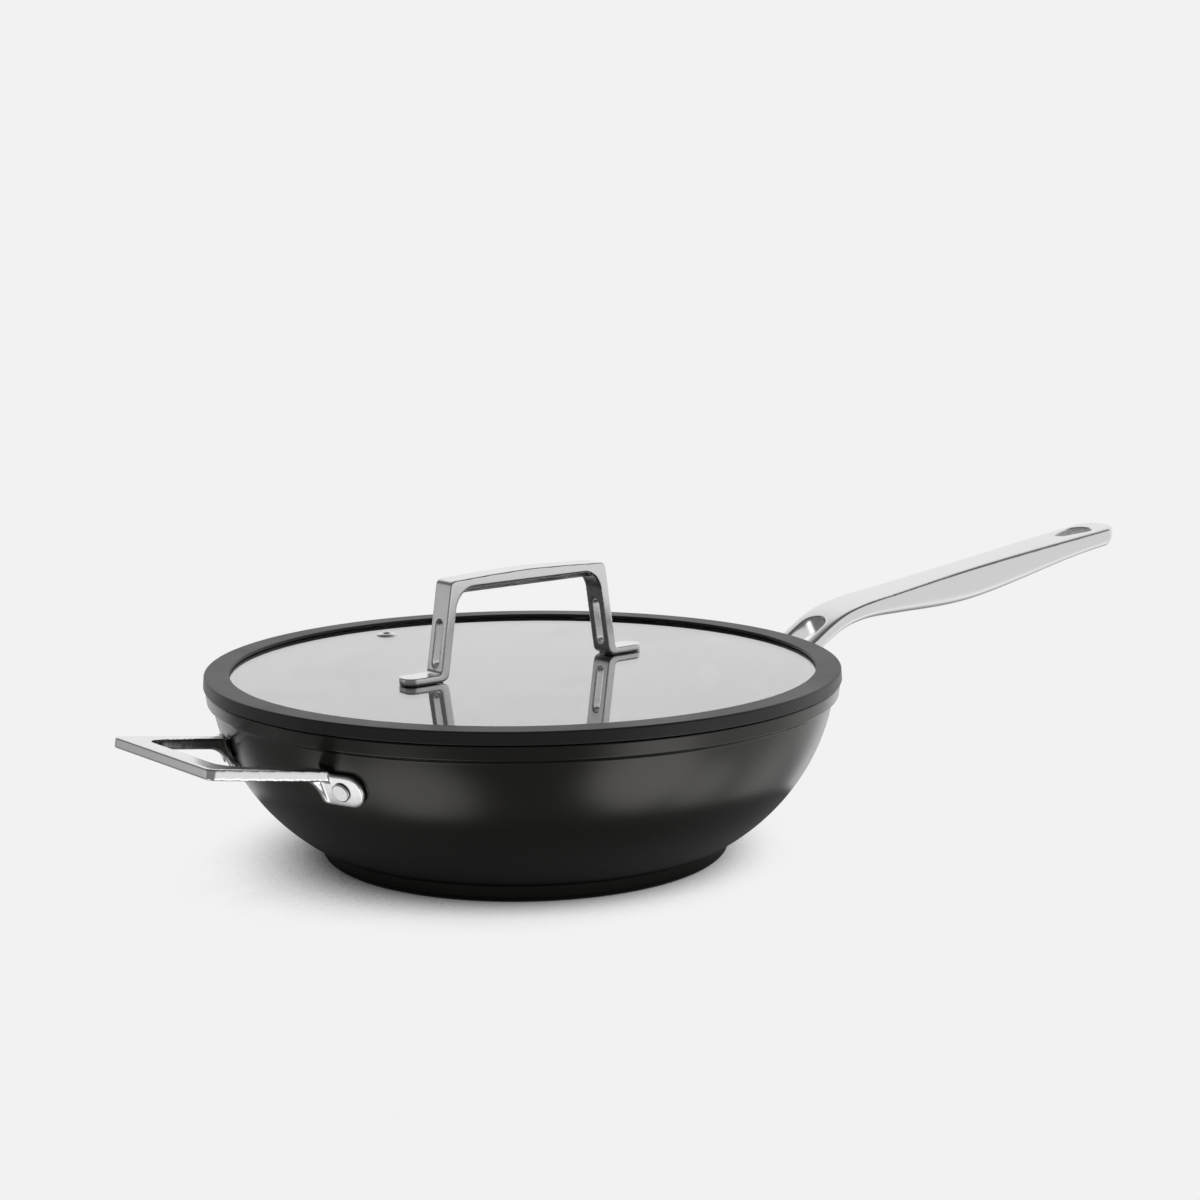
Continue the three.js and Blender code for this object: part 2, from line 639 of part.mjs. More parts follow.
function lidHandle() {
  const foot = BRIDGE_FOOT_LENGTH / 2;
  const legFoot = BRIDGE_LEG_LENGTH / 2;
  const legTop = BRIDGE_TOP_LENGTH / 2;
  const shoulder = BRIDGE_HEIGHT - BRIDGE_CROWN;
  const barFoot = BRIDGE_HEIGHT - BRIDGE_BAR - BRIDGE_CROWN / 2;
  const half = [
    [foot, 0, 0],
    [foot, FOOT_PAD, 0.4],
    [legFoot, FOOT_PAD, 2],
    [legTop, shoulder, BRIDGE_OUTER_CORNER],
    [0, BRIDGE_HEIGHT, BRIDGE_CROWN_RADIUS],
  ];
  const mirrored = half.slice(0, -1).reverse().map(([x, z, r]) => [-x, z, r]);
  const inner = [
    [-legFoot + BRIDGE_LEG, 0, BRIDGE_LEG],
    [-legTop + BRIDGE_LEG, barFoot, BRIDGE_INNER_CORNER],
    [legTop - BRIDGE_LEG, barFoot, BRIDGE_INNER_CORNER],
    [legFoot - BRIDGE_LEG, 0, BRIDGE_LEG],
  ];
  const profile = filletedShape([...half, ...mirrored, ...inner]);
  const plan = filletedShape([
    [-foot, -BRIDGE_WIDTH / 2, FOOT_PAD_CORNER],
    [foot, -BRIDGE_WIDTH / 2, FOOT_PAD_CORNER],
    [foot, BRIDGE_WIDTH / 2, FOOT_PAD_CORNER],
    [-foot, BRIDGE_WIDTH / 2, FOOT_PAD_CORNER],
  ]);
  const slotFoot = FOOT_PAD + LEG_SLOT_LIFT;
  const slotHalf = LEG_SLOT_WIDTH / 2;
  const legSlot = filletedShape([
    [-slotHalf, slotFoot, slotHalf],
    [slotHalf, slotFoot, slotHalf],
    [slotHalf, slotFoot + LEG_SLOT_LENGTH, slotHalf],
    [-slotHalf, slotFoot + LEG_SLOT_LENGTH, slotHalf],
  ]);
  let body = solid(extruded(profile, BRIDGE_WIDTH * 2).applyMatrix4(sideOn));
  body = body.intersect(solid(extruded(plan, BRIDGE_HEIGHT * 4)));
  const halfBar = BRIDGE_WIDTH / 2;
  const swell = new THREE.Shape().absellipse(0, barFoot, halfBar, BRIDGE_SWELL, Math.PI, 2 * Math.PI);
  swell.lineTo(halfBar, barFoot + BRIDGE_BAR / 2);
  swell.lineTo(-halfBar, barFoot + BRIDGE_BAR / 2);
  swell.closePath();
  body = body.add(solid(extruded(swell, BRIDGE_TOP_LENGTH - BRIDGE_LEG).applyMatrix4(endOn)));
  body = body.subtract(solid(extruded(legSlot, foot * 4).applyMatrix4(endOn)));
  for (const [, x] of screwPlaces) {
    const depth = SCREW_GRIP + FIT_GAP;
    body = body.subtract(solid(upright(SCREW_RADIUS + FIT_GAP, depth * 2).translate(x, 0, 0)));
  }
  addPiece('lid_handle', fromSolid(body), castSteel).position.set(0, 0, bridgeFoot);
}

// What holds each foot to the glass: a gasket above it, a seal, a washer and a screw below it.
function footFixing(side, x) {
  const gasketOutline = footOutline(GASKET_INSET)(Math.sign(x));
  const gasketHole = new THREE.Path().absarc(x, 0, SCREW_RADIUS + FIT_GAP, 0, Math.PI * 2);
  gasketOutline.holes.push(gasketHole);
  const gasket = extruded(gasketOutline, GASKET);
  addPiece(`lid_handle_gasket_${side}`, gasket, silicone).position.z = glassTop + GASKET / 2;

  const disc = (radius, from, thickness) => new THREE.LatheGeometry(ringProfile([
    [SCREW_RADIUS + FIT_GAP, from - thickness],
    [radius, from - thickness],
    [radius, from],
    [SCREW_RADIUS + FIT_GAP, from],
  ]), FACETS / 3).rotateX(Math.PI / 2);
  const sealFoot = glassFoot - SEAL_THICKNESS;
  const washerFoot = sealFoot - WASHER_THICKNESS;
  const seal = disc(SEAL_RADIUS, glassFoot, SEAL_THICKNESS);
  const washer = disc(WASHER_RADIUS, sealFoot, WASHER_THICKNESS);
  addPiece(`lid_handle_seal_${side}`, seal, silicone).position.x = x;
  addPiece(`lid_handle_washer_${side}`, washer, rivetSteel).position.x = x;

  const dome = SCREW_HEAD_HEIGHT / 3;
  const screw = [
    [0, washerFoot - SCREW_HEAD_HEIGHT],
    [SCREW_HEAD_RADIUS - dome, washerFoot - SCREW_HEAD_HEIGHT],
    [SCREW_HEAD_RADIUS, washerFoot - SCREW_HEAD_HEIGHT + dome],
    [SCREW_HEAD_RADIUS, washerFoot],
    [SCREW_RADIUS, washerFoot],
    [SCREW_RADIUS, bridgeFoot + SCREW_GRIP],
    [0, bridgeFoot + SCREW_GRIP],
  ].map(([r, z]) => flat(r, z));
  const shape = new THREE.LatheGeometry(screw, FACETS / 3).rotateX(Math.PI / 2);
  addPiece(`lid_handle_screw_${side}`, shape, rivetSteel).position.x = x;
}

bowl();
inductionPlate();
longHandle();
helperHandle();
rivets.forEach(rivet);
lidGlass();
lidRing();
steamVent();
lidHandle();
for (const [side, x] of screwPlaces) footFixing(side, x);

export default wok;
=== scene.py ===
import math

import bpy
from mathutils import Matrix, Vector


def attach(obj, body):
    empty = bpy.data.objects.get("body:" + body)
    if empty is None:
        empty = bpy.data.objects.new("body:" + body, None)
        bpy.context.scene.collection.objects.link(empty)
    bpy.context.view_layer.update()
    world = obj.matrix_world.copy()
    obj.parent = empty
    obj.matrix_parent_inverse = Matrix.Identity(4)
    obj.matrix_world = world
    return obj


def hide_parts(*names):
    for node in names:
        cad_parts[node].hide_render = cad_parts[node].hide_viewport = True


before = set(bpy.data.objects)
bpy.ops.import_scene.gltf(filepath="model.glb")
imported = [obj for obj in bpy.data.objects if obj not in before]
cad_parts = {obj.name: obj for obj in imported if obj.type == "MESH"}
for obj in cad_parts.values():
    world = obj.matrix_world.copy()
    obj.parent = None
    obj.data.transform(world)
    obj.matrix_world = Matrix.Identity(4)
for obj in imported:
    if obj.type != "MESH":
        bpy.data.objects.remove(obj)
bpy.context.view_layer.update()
scene = bpy.context.scene
mm = 0.001
print("frame loaded")

# the photograph's camera, worked out from the edges of the lid's ring
cameraView = {
    "lens": 68.76, "sensor": 36,
    "distance": 1.0200,  # level distance from the wok's axis
    "height": 0.2809,
    "side": 37.5,  # degrees the long handle points away from the picture plane
    "pitch": 9.33,
    "yaw": 1.95,
    "roll": -0.42,
}


def makeCamera():
    side = math.radians(cameraView["side"])
    pitch, yaw, roll = (math.radians(cameraView[k]) for k in ("pitch", "yaw", "roll"))
    right = Vector((math.cos(yaw), -math.sin(yaw), 0))
    ahead = Vector((math.cos(pitch) * math.sin(yaw), math.cos(pitch) * math.cos(yaw), -math.sin(pitch)))
    up = right.cross(ahead)
    across = right * math.cos(roll) + up * math.sin(roll)
    above = up * math.cos(roll) - right * math.sin(roll)
    turn = Matrix.Rotation(-side, 3, "Z")
    place = turn @ Vector((0, -cameraView["distance"], cameraView["height"]))
    axes = Matrix([turn @ across, turn @ above, -(turn @ ahead)]).transposed()
    data = bpy.data.cameras.new("studioCamera")
    data.lens = cameraView["lens"]
    data.sensor_width = cameraView["sensor"]
    data.clip_start = 0.01
    camera = bpy.data.objects.new("studioCamera", data)
    camera.matrix_world = Matrix.Translation(place) @ axes.to_4x4()
    scene.collection.objects.link(camera)
    scene.camera = camera


makeCamera()
print("camera set")


# drawing helpers, all in millimetres

def roundedLine(corners, closed=True, arcStep=8):
    # corners (x, y, radius) to plain points, each radius as large as its sides allow
    points = []
    count = len(corners)
    for i, (x, y, radius) in enumerate(corners):
        here = Vector((x, y))
        if radius <= 0 or (not closed and i in (0, count - 1)):
            points.append(here)
            continue
        before = Vector(corners[i - 1][:2]) - here
        after = Vector(corners[(i + 1) % count][:2]) - here
        room = min(before.length, after.length) / 2
        before.normalize()
        after.normalize()
        half = before.angle(after) / 2
        if half > math.radians(89.5):
            points.append(here)
            continue
        radius = min(radius, room * math.tan(half))
        middle = here + (before + after).normalized() * (radius / math.sin(half))
        start = here + before * (radius / math.tan(half)) - middle
        turn = math.pi - 2 * half
        steps = max(2, math.ceil(math.degrees(turn) / arcStep))
        sign = 1 if before.x * after.y - before.y * after.x < 0 else -1
        for k in range(steps + 1):
            a = sign * turn * k / steps
            c, s = math.cos(a), math.sin(a)
            points.append(middle + Vector((start.x * c - start.y * s, start.x * s + start.y * c)))
    return points


def roundedBox(left, low, right, high, radius):
    corners = ((left, low), (right, low), (right, high), (left, high))
    return roundedLine([(x, y, radius) for x, y in corners])


def softBend(start, corner, end, steps=12):
    # a parabola between two points, drawn towards the corner
    return [start * (1 - t) ** 2 + corner * 2 * t * (1 - t) + end * t ** 2
            for t in (k / steps for k in range(steps + 1))]


axisY = Vector((0, 1, 0))


def axesMatrix(x, y, z):
    return Matrix([x, y, z]).transposed().to_4x4()


def placeAlong(origin, along):
    # X along a direction in the XZ plane, Y across
    return Matrix.Translation(origin) @ axesMatrix(along, axisY, along.cross(axisY))


sideOn = axesMatrix((1, 0, 0), (0, 0, 1), (0, -1, 0))
endOn = axesMatrix((0, 1, 0), (0, 0, 1), (1, 0, 0))


def flipIfInside(mesh):
    # outward faces, judged by the signed volume
    mesh.calc_loop_triangles()
    volume = sum(mesh.vertices[a].co.dot(mesh.vertices[b].co.cross(mesh.vertices[c].co))
                 for a, b, c in (t.vertices for t in mesh.loop_triangles))
    if volume < 0:
        mesh.flip_normals()


def meshFrom(name, points, faces):
    mesh = bpy.data.meshes.new(name)
    mesh.from_pydata([Vector(p) * mm for p in points], [], faces)
    mesh.validate()
    mesh.update()
    flipIfInside(mesh)
    return mesh


def turnedMesh(name, profile, steps, closed=False):
    # a profile of (radius, height) turned round Z, open profiles start and end on the axis
    points, rings = [], []
    for r, z in profile:
        if r < 1e-6:
            rings.append([len(points)])
            points.append((0, 0, z))
        else:
            rings.append(range(len(points), len(points) + steps))
            for k in range(steps):
                a = 2 * math.pi * k / steps
                points.append((r * math.cos(a), r * math.sin(a), z))
    pairs = list(zip(rings, rings[1:]))
    if closed:
        pairs.append((rings[-1], rings[0]))
    faces = []
    for low, high in pairs:
        for k in range(steps):
            n = (k + 1) % steps
            if len(low) == 1 and len(high) > 1:
                faces.append((low[0], high[n], high[k]))
            elif len(high) == 1 and len(low) > 1:
                faces.append((low[k], low[n], high[0]))
            elif len(low) > 1:
                faces.append((low[k], low[n], high[n], high[k]))
    return meshFrom(name, points, faces)


def turnedCorners(name, corners, steps, closed=False, arcStep=15):
    line = roundedLine(corners, closed, arcStep)
    return turnedMesh(name, [(p.x, p.y) for p in line], steps, closed)


def prismMesh(name, outline, depth, place=Matrix.Identity(4)):
    # a closed outline pulled along its normal, half of the depth each way, then placed
    count = len(outline)
    points = [place @ Vector((p[0], p[1], z)) for z in (-depth / 2, depth / 2) for p in outline]
    faces = [tuple(range(count - 1, -1, -1)), tuple(range(count, 2 * count))]
    for k in range(count):
        n = (k + 1) % count
        faces.append((k, n, n + count, k + count))
    return meshFrom(name, points, faces)


def loftedMesh(name, rings):
    count = len(rings[0])
    points = [p for ring in rings for p in ring]
    last = (len(rings) - 1) * count
    faces = [tuple(range(count - 1, -1, -1)), tuple(range(last, last + count))]
    for i in range(len(rings) - 1):
        for j in range(count):
            a, b = i * count + j, i * count + (j + 1) % count
            faces.append((a, b, b + count, a + count))
    return meshFrom(name, points, faces)


def evaluated(mesh, addModifiers):
    # the mesh after its modifiers, with the helper object gone again
    holder = bpy.data.objects.new("holder", mesh)
    scene.collection.objects.link(holder)
    addModifiers(holder)
    bpy.context.view_layer.update()
    shown = holder.evaluated_get(bpy.context.evaluated_depsgraph_get())
    result = bpy.data.meshes.new_from_object(shown)
    bpy.data.objects.remove(holder)
    return result


def carved(mesh, cuts):
    # cuts are (operation, mesh) pairs, in order
    for operation, other in cuts:
        tool = bpy.data.objects.new("tool", other)
        scene.collection.objects.link(tool)

        def addBoolean(holder):
            cut = holder.modifiers.new("cut", "BOOLEAN")
            cut.operation = operation
            cut.solver = "EXACT"
            cut.object = tool

        mesh = evaluated(mesh, addBoolean)
        bpy.data.objects.remove(tool)
    return mesh


def castSkin(mesh, voxel, rounds):
    # one even skin with every edge softened, as a casting has after tumbling
    def addSkin(holder):
        remesh = holder.modifiers.new("skin", "REMESH")
        remesh.mode = "VOXEL"
        remesh.voxel_size = voxel * mm
        remesh.use_smooth_shade = True
        smooth = holder.modifiers.new("soften", "SMOOTH")
        smooth.factor = 0.5
        smooth.iterations = rounds

    return evaluated(mesh, addSkin)


def levelNormals(holder):
    # flat faces keep their own normal beside a rounded edge
    level = holder.modifiers.new("level", "WEIGHTED_NORMAL")
    level.keep_sharp = True


def addPiece(name, mesh, body, materials, node, sharp=40):
    mesh.shade_smooth()
    if sharp:
        mesh.set_sharp_from_angle(angle=math.radians(sharp))
        mesh = evaluated(mesh, levelNormals)
    mesh.name = name
    mesh.materials.clear()
    for material in materials:
        mesh.materials.append(material)
    piece = bpy.data.objects.new(name, mesh)
    scene.collection.objects.link(piece)
    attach(piece, body)
    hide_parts(node)
    return piece


# shader helpers and the effects that several finishes share

def addNode(tree, kind, **settings):
    node = tree.nodes.new(kind)
    for key, value in settings.items():
        if key in node.bl_rna.properties:
            setattr(node, key, value)
        else:
            node.inputs[key.replace("_", " ")].default_value = value
    return node


def feed(tree, socket, value):
    # a number is set on the socket, anything else is linked to it
    if isinstance(value, (int, float)):
        socket.default_value = value
    else:
        tree.links.new(value, socket)


def feedAll(tree, sockets, values):
    for socket, value in zip(sockets, values):
        feed(tree, socket, value)


def addMath(tree, operation, a, b):
    node = addNode(tree, "ShaderNodeMath", operation=operation)
    feedAll(tree, node.inputs, (a, b))
    return node.outputs[0]


def addShares(tree, a, shareA, b, shareB):
    return addMath(tree, "ADD", addMath(tree, "MULTIPLY", a, shareA), addMath(tree, "MULTIPLY", b, shareB))


def addRange(tree, value, fromLow, fromHigh, toLow, toHigh):
    node = addNode(tree, "ShaderNodeMapRange")
    sockets = [node.inputs[key] for key in ("Value", "From Min", "From Max", "To Min", "To Max")]
    feedAll(tree, sockets, (value, fromLow, fromHigh, toLow, toHigh))
    return node.outputs["Result"]


def newGroup(name, inputs, outputs):
    tree = bpy.data.node_groups.new(name, "ShaderNodeTree")
    for label, value in inputs.items():
        socket = tree.interface.new_socket(label, in_out="INPUT", socket_type="NodeSocketFloat")
        socket.default_value = value
    for label in outputs:
        tree.interface.new_socket(label, in_out="OUTPUT", socket_type="NodeSocketFloat")
    return tree, tree.nodes.new("NodeGroupInput"), tree.nodes.new("NodeGroupOutput")


def scaledNoise(tree, vector, scale, detail, rough=0.55):
    noise = addNode(tree, "ShaderNodeTexNoise", Detail=detail, Roughness=rough)
    tree.links.new(vector, noise.inputs["Vector"])
    feed(tree, noise.inputs["Scale"], scale)
    return noise.outputs["Fac"]


def makeSatinGroup():
    # blasted and polished metal: fine pits, soft cloudy polish and faint handling smears
    tree, given, out = newGroup(
        "satinPolish",
        {"Grain Scale": 2600, "Cloud Scale": 34, "Smear": 0.5, "Roughness Low": 0.24, "Roughness High": 0.36},
        ("Tone", "Roughness", "Height"),
    )
    place = addNode(tree, "ShaderNodeTexCoord").outputs["Object"]
    grain = scaledNoise(tree, place, given.outputs["Grain Scale"], 2)
    cloud = scaledNoise(tree, place, given.outputs["Cloud Scale"], 4)
    smearMap = addNode(tree, "ShaderNodeMapping")
    smearMap.inputs["Scale"].default_value = (16, 60, 60)
    smearMap.inputs["Rotation"].default_value = (0.2, 0.1, 0.5)
    tree.links.new(place, smearMap.inputs["Vector"])
    smear = scaledNoise(tree, smearMap.outputs["Vector"], 1.0, 5, 0.65)
    smearMask = addMath(tree, "MULTIPLY", addRange(tree, smear, 0.5, 0.72, 0, 1), given.outputs["Smear"])
    mixed = addShares(tree, grain, 0.45, cloud, 0.55)
    rough = addRange(tree, mixed, 0.32, 0.68, given.outputs["Roughness Low"], given.outputs["Roughness High"])
    roughSmear = addMath(tree, "ADD", rough, addMath(tree, "MULTIPLY", smearMask, 0.07))
    tone = addMath(tree, "SUBTRACT", addRange(tree, mixed, 0.3, 0.7, 0.94, 1.0),
                   addMath(tree, "MULTIPLY", smearMask, 0.04))
    feedAll(tree, out.inputs, (tone, roughSmear, grain))
    return tree


def makeTurnedGroup():
    # tool marks of a lathe: fine rings round the Z axis, broken up a little
    tree, given, out = newGroup(
        "turnedRings",
        {"Pitch": 0.6, "Wander": 0.12},
        ("Rings", "Streaks"),
    )
    place = addNode(tree, "ShaderNodeTexCoord").outputs["Object"]
    split = addNode(tree, "ShaderNodeSeparateXYZ")
    tree.links.new(place, split.inputs[0])
    x, y = split.outputs["X"], split.outputs["Y"]
    radius = addMath(tree, "SQRT", addShares(tree, x, x, y, y), 0)
    wander = scaledNoise(tree, place, 60, 2)
    perMm = addMath(tree, "DIVIDE", 1 / mm, given.outputs["Pitch"])
    shifted = addShares(tree, radius, perMm, wander, given.outputs["Wander"])
    wave = addMath(tree, "SINE", addMath(tree, "MULTIPLY", shifted, 2 * math.pi), 0)
    rings = addRange(tree, wave, -1, 1, 0, 1)
    combine = addNode(tree, "ShaderNodeCombineXYZ")
    tree.links.new(addMath(tree, "MULTIPLY", radius, 900), combine.inputs["X"])
    tree.links.new(addMath(tree, "ARCTAN2", y, x), combine.inputs["Y"])
    streaks = scaledNoise(tree, combine.outputs[0], 1.4, 4, 0.6)
    feedAll(tree, out.inputs, (rings, streaks))
    return tree


def makeSprayedGroup():
    # a sprayed or moulded skin: fine orange peel, specks and slow cloudiness
    tree, given, out = newGroup(
        "sprayedSkin",
        {"Peel Scale": 900, "Speck Scale": 2400, "Cloud Scale": 18},
        ("Peel", "Specks", "Cloud"),
    )
    place = addNode(tree, "ShaderNodeTexCoord").outputs["Object"]
    peel = scaledNoise(tree, place, given.outputs["Peel Scale"], 2)
    speck = addNode(tree, "ShaderNodeTexVoronoi", feature="F1")
    tree.links.new(place, speck.inputs["Vector"])
    tree.links.new(given.outputs["Speck Scale"], speck.inputs["Scale"])
    specks = addRange(tree, speck.outputs["Distance"], 0.0, 0.22, 1, 0)
    cloud = scaledNoise(tree, place, given.outputs["Cloud Scale"], 5, 0.6)
    feedAll(tree, out.inputs, (peel, specks, cloud))
    return tree


satinGroup = makeSatinGroup()
turnedGroup = makeTurnedGroup()
sprayedGroup = makeSprayedGroup()


def setInputs(node, values):
    for key, value in values.items():
        node.inputs[key.replace("_", " ")].default_value = value


def newMaterial(name, **sockets):
    material = bpy.data.materials.new(name)
    material.use_nodes = True
    shader = material.node_tree.nodes["Principled BSDF"]
    setInputs(shader, sockets)
    return material, material.node_tree, shader


def placeGroup(tree, group, **values):
    node = tree.nodes.new("ShaderNodeGroup")
    node.node_tree = group
    setInputs(node, values)
    return node


def linkTone(tree, shader, look, factor):
    # Base Color between a look's two colours by a mask
    mix = addNode(tree, "ShaderNodeMix", data_type="RGBA")
    mix.inputs[6].default_value = (*look["dark"], 1)
    mix.inputs[7].default_value = (*look["light"], 1)
    tree.links.new(factor, mix.inputs[0])
    tree.links.new(mix.outputs[2], shader.inputs["Base Color"])


def linkBump(tree, shader, height, distance, strength):
    bump = addNode(tree, "ShaderNodeBump", Strength=strength, Distance=distance)
    tree.links.new(height, bump.inputs["Height"])
    tree.links.new(bump.outputs["Normal"], shader.inputs["Normal"])


castSteel = {"dark": (0.58, 0.58, 0.575), "light": (0.86, 0.86, 0.855), "rough": (0.15, 0.25), "smear": 0.5}
slotSteel = {"dark": (0.72, 0.72, 0.715), "light": (0.92, 0.92, 0.915), "rough": (0.5, 0.62), "smear": 0.3}
rivetSteel = {"dark": (0.55, 0.55, 0.545), "light": (0.84, 0.84, 0.835), "rough": (0.2, 0.3), "smear": 0.3}


def makeSatinSteel(name, look):
    material, tree, shader = newMaterial(name, Metallic=1.0)
    satin = placeGroup(tree, satinGroup, Smear=look["smear"],
                       Roughness_Low=look["rough"][0], Roughness_High=look["rough"][1])
    linkTone(tree, shader, look, satin.outputs["Tone"])
    tree.links.new(satin.outputs["Roughness"], shader.inputs["Roughness"])
    linkBump(tree, shader, satin.outputs["Height"], 0.00002, 0.25)
    return material


baseSteel = {"dark": (0.36, 0.35, 0.34), "light": (0.62, 0.61, 0.59), "pitch": 0.5}


def makeTurnedSteel(name, look):
    material, tree, shader = newMaterial(name, Metallic=1.0)
    turned = placeGroup(tree, turnedGroup, Pitch=look["pitch"])
    satin = placeGroup(tree, satinGroup, Roughness_Low=0.26, Roughness_High=0.42)
    both = addMath(tree, "MULTIPLY", turned.outputs["Streaks"], satin.outputs["Tone"])
    linkTone(tree, shader, look, addRange(tree, both, 0.25, 0.7, 0, 1))
    tree.links.new(satin.outputs["Roughness"], shader.inputs["Roughness"])
    linkBump(tree, shader, turned.outputs["Rings"], 0.00003, 0.35)
    return material


shellCoat = {"dark": (0.003, 0.0028, 0.0024), "light": (0.006, 0.0056, 0.0048), "rough": (0.22, 0.28)}


def makeShellCoat(name, look):
    # hard dark coating over aluminium, satin with a fine sprayed texture
    material, tree, shader = newMaterial(name, Metallic=0.0, IOR=1.56, Specular_Tint=(1, 0.975, 0.92, 1))
    skin = placeGroup(tree, sprayedGroup, Peel_Scale=1400, Speck_Scale=3200, Cloud_Scale=14)
    mask = addShares(tree, skin.outputs["Cloud"], 0.7, skin.outputs["Specks"], 0.3)
    linkTone(tree, shader, look, mask)
    tree.links.new(addRange(tree, mask, 0.25, 0.75, *look["rough"]), shader.inputs["Roughness"])
    linkBump(tree, shader, skin.outputs["Peel"], 0.00003, 0.2)
    return material


innerCoat = {"dark": (0.014, 0.014, 0.0135), "light": (0.04, 0.039, 0.037), "pitch": 1.1}


def makeInnerCoat(name, look):
    # non-stick inside: faint turning rings under a speckled coating
    material, tree, shader = newMaterial(name, IOR=1.42, Specular_IOR_Level=0.25)
    skin = placeGroup(tree, sprayedGroup, Peel_Scale=1100, Speck_Scale=1500, Cloud_Scale=20)
    turned = placeGroup(tree, turnedGroup, Pitch=look["pitch"], Wander=0.2)
    flecks = addMath(tree, "MULTIPLY", skin.outputs["Specks"], skin.outputs["Cloud"])
    linkTone(tree, shader, look, flecks)
    tree.links.new(addRange(tree, skin.outputs["Cloud"], 0.3, 0.7, 0.34, 0.44), shader.inputs["Roughness"])
    height = addShares(tree, turned.outputs["Rings"], 0.6, skin.outputs["Peel"], 0.4)
    linkBump(tree, shader, height, 0.00004, 0.4)
    return material


ringSilicone = {"dark": (0.011, 0.011, 0.0112), "light": (0.02, 0.02, 0.0203)}


def makeSilicone(name, look):
    # soft matte rubber with a moulded grain and a little dust
    material, tree, shader = newMaterial(name, IOR=1.5)
    skin = placeGroup(tree, sprayedGroup, Peel_Scale=1700, Speck_Scale=1800, Cloud_Scale=26)
    specks = addRange(tree, skin.outputs["Specks"], 0, 1, 0.75, 1)
    dust = addMath(tree, "MULTIPLY", skin.outputs["Cloud"], specks)
    linkTone(tree, shader, look, dust)
    tree.links.new(addRange(tree, skin.outputs["Cloud"], 0.3, 0.7, 0.38, 0.46), shader.inputs["Roughness"])
    linkBump(tree, shader, skin.outputs["Peel"], 0.00004, 0.35)
    return material


clearGlass = {"dark": (0.82, 0.85, 0.84), "light": (0.9, 0.92, 0.91)}


def makeGlass(name, look):
    # tempered glass with wiping haze too faint to see head on
    material, tree, shader = newMaterial(name, Metallic=0.0, Transmission_Weight=1.0, IOR=1.52,
                                         Coat_Weight=1.0, Coat_IOR=1.6, Coat_Roughness=0.01)
    skin = placeGroup(tree, sprayedGroup, Peel_Scale=120, Speck_Scale=600, Cloud_Scale=12)
    linkTone(tree, shader, look, skin.outputs["Cloud"])
    tree.links.new(addRange(tree, skin.outputs["Cloud"], 0.35, 0.75, 0.0, 0.025), shader.inputs["Roughness"])
    linkBump(tree, shader, skin.outputs["Peel"], 0.00001, 0.02)
    return material


steelCast = makeSatinSteel("castSteelSatin", castSteel)
steelSlot = makeSatinSteel("castSteelBlasted", slotSteel)
steelRivet = makeSatinSteel("rivetSteelSatin", rivetSteel)
steelBase = makeTurnedSteel("baseSteelTurned", baseSteel)
coatOuter = makeShellCoat("shellCoatDark", shellCoat)
coatInner = makeInnerCoat("innerCoatNonStick", innerCoat)
siliconeRing = makeSilicone("ringSiliconeMatte", ringSilicone)
glassClear = makeGlass("lidGlassClear", clearGlass)
print("finishes made")


# bowl
bowl = {
    "rim": 142.8, "height": 79, "wall": 3.2, "arc": 91,
    "band": 6.2, "bandDraft": 0.8, "step": 1.6, "overhang": 3.4,
    "floor": 5.5, "floorBlend": 12,
    "foot": 92.5, "footHeight": 8.5, "footStep": 4, "footRound": 2.5, "footFillet": 1.5, "footLip": 7,
    "plateThickness": 1.6, "plateProud": 0.4, "gap": 0.3,
}
wallTop = Vector((bowl["rim"] - bowl["overhang"], bowl["height"] - bowl["band"] - bowl["step"]))
wallFoot = Vector((bowl["foot"] + bowl["footStep"], bowl["footHeight"]))
chord = wallTop - wallFoot
arcHeight = math.sqrt(bowl["arc"] ** 2 - (chord.length / 2) ** 2)
wallCentre = (wallTop + wallFoot) / 2 + Vector((-chord.y, chord.x)).normalized() * arcHeight


def wallLean(height, offset=0):
    return math.asin((wallCentre.y - height) / (bowl["arc"] + offset))


def wallRadius(height, offset=0):
    return wallCentre.x + (bowl["arc"] + offset) * math.cos(wallLean(height, offset))


def wallCurve(low, high, offset, steps=36):
    first, last = wallLean(low, offset), wallLean(high, offset)
    arc = bowl["arc"] + offset
    leans = [first + (last - first) * k / steps for k in range(steps + 1)]
    return [(wallCentre.x + arc * math.cos(a), wallCentre.y - arc * math.sin(a), 0) for a in leans]


def wallFrame(angle, height):
    lean = wallLean(height)
    turn = Matrix.Rotation(angle, 3, "Z")
    out = turn @ Vector((math.cos(lean), 0, -math.sin(lean)))
    along = turn @ axisY
    place = turn @ Vector((wallRadius(height), 0, height))
    return Matrix.Translation(place) @ axesMatrix(along, out.cross(along), out)


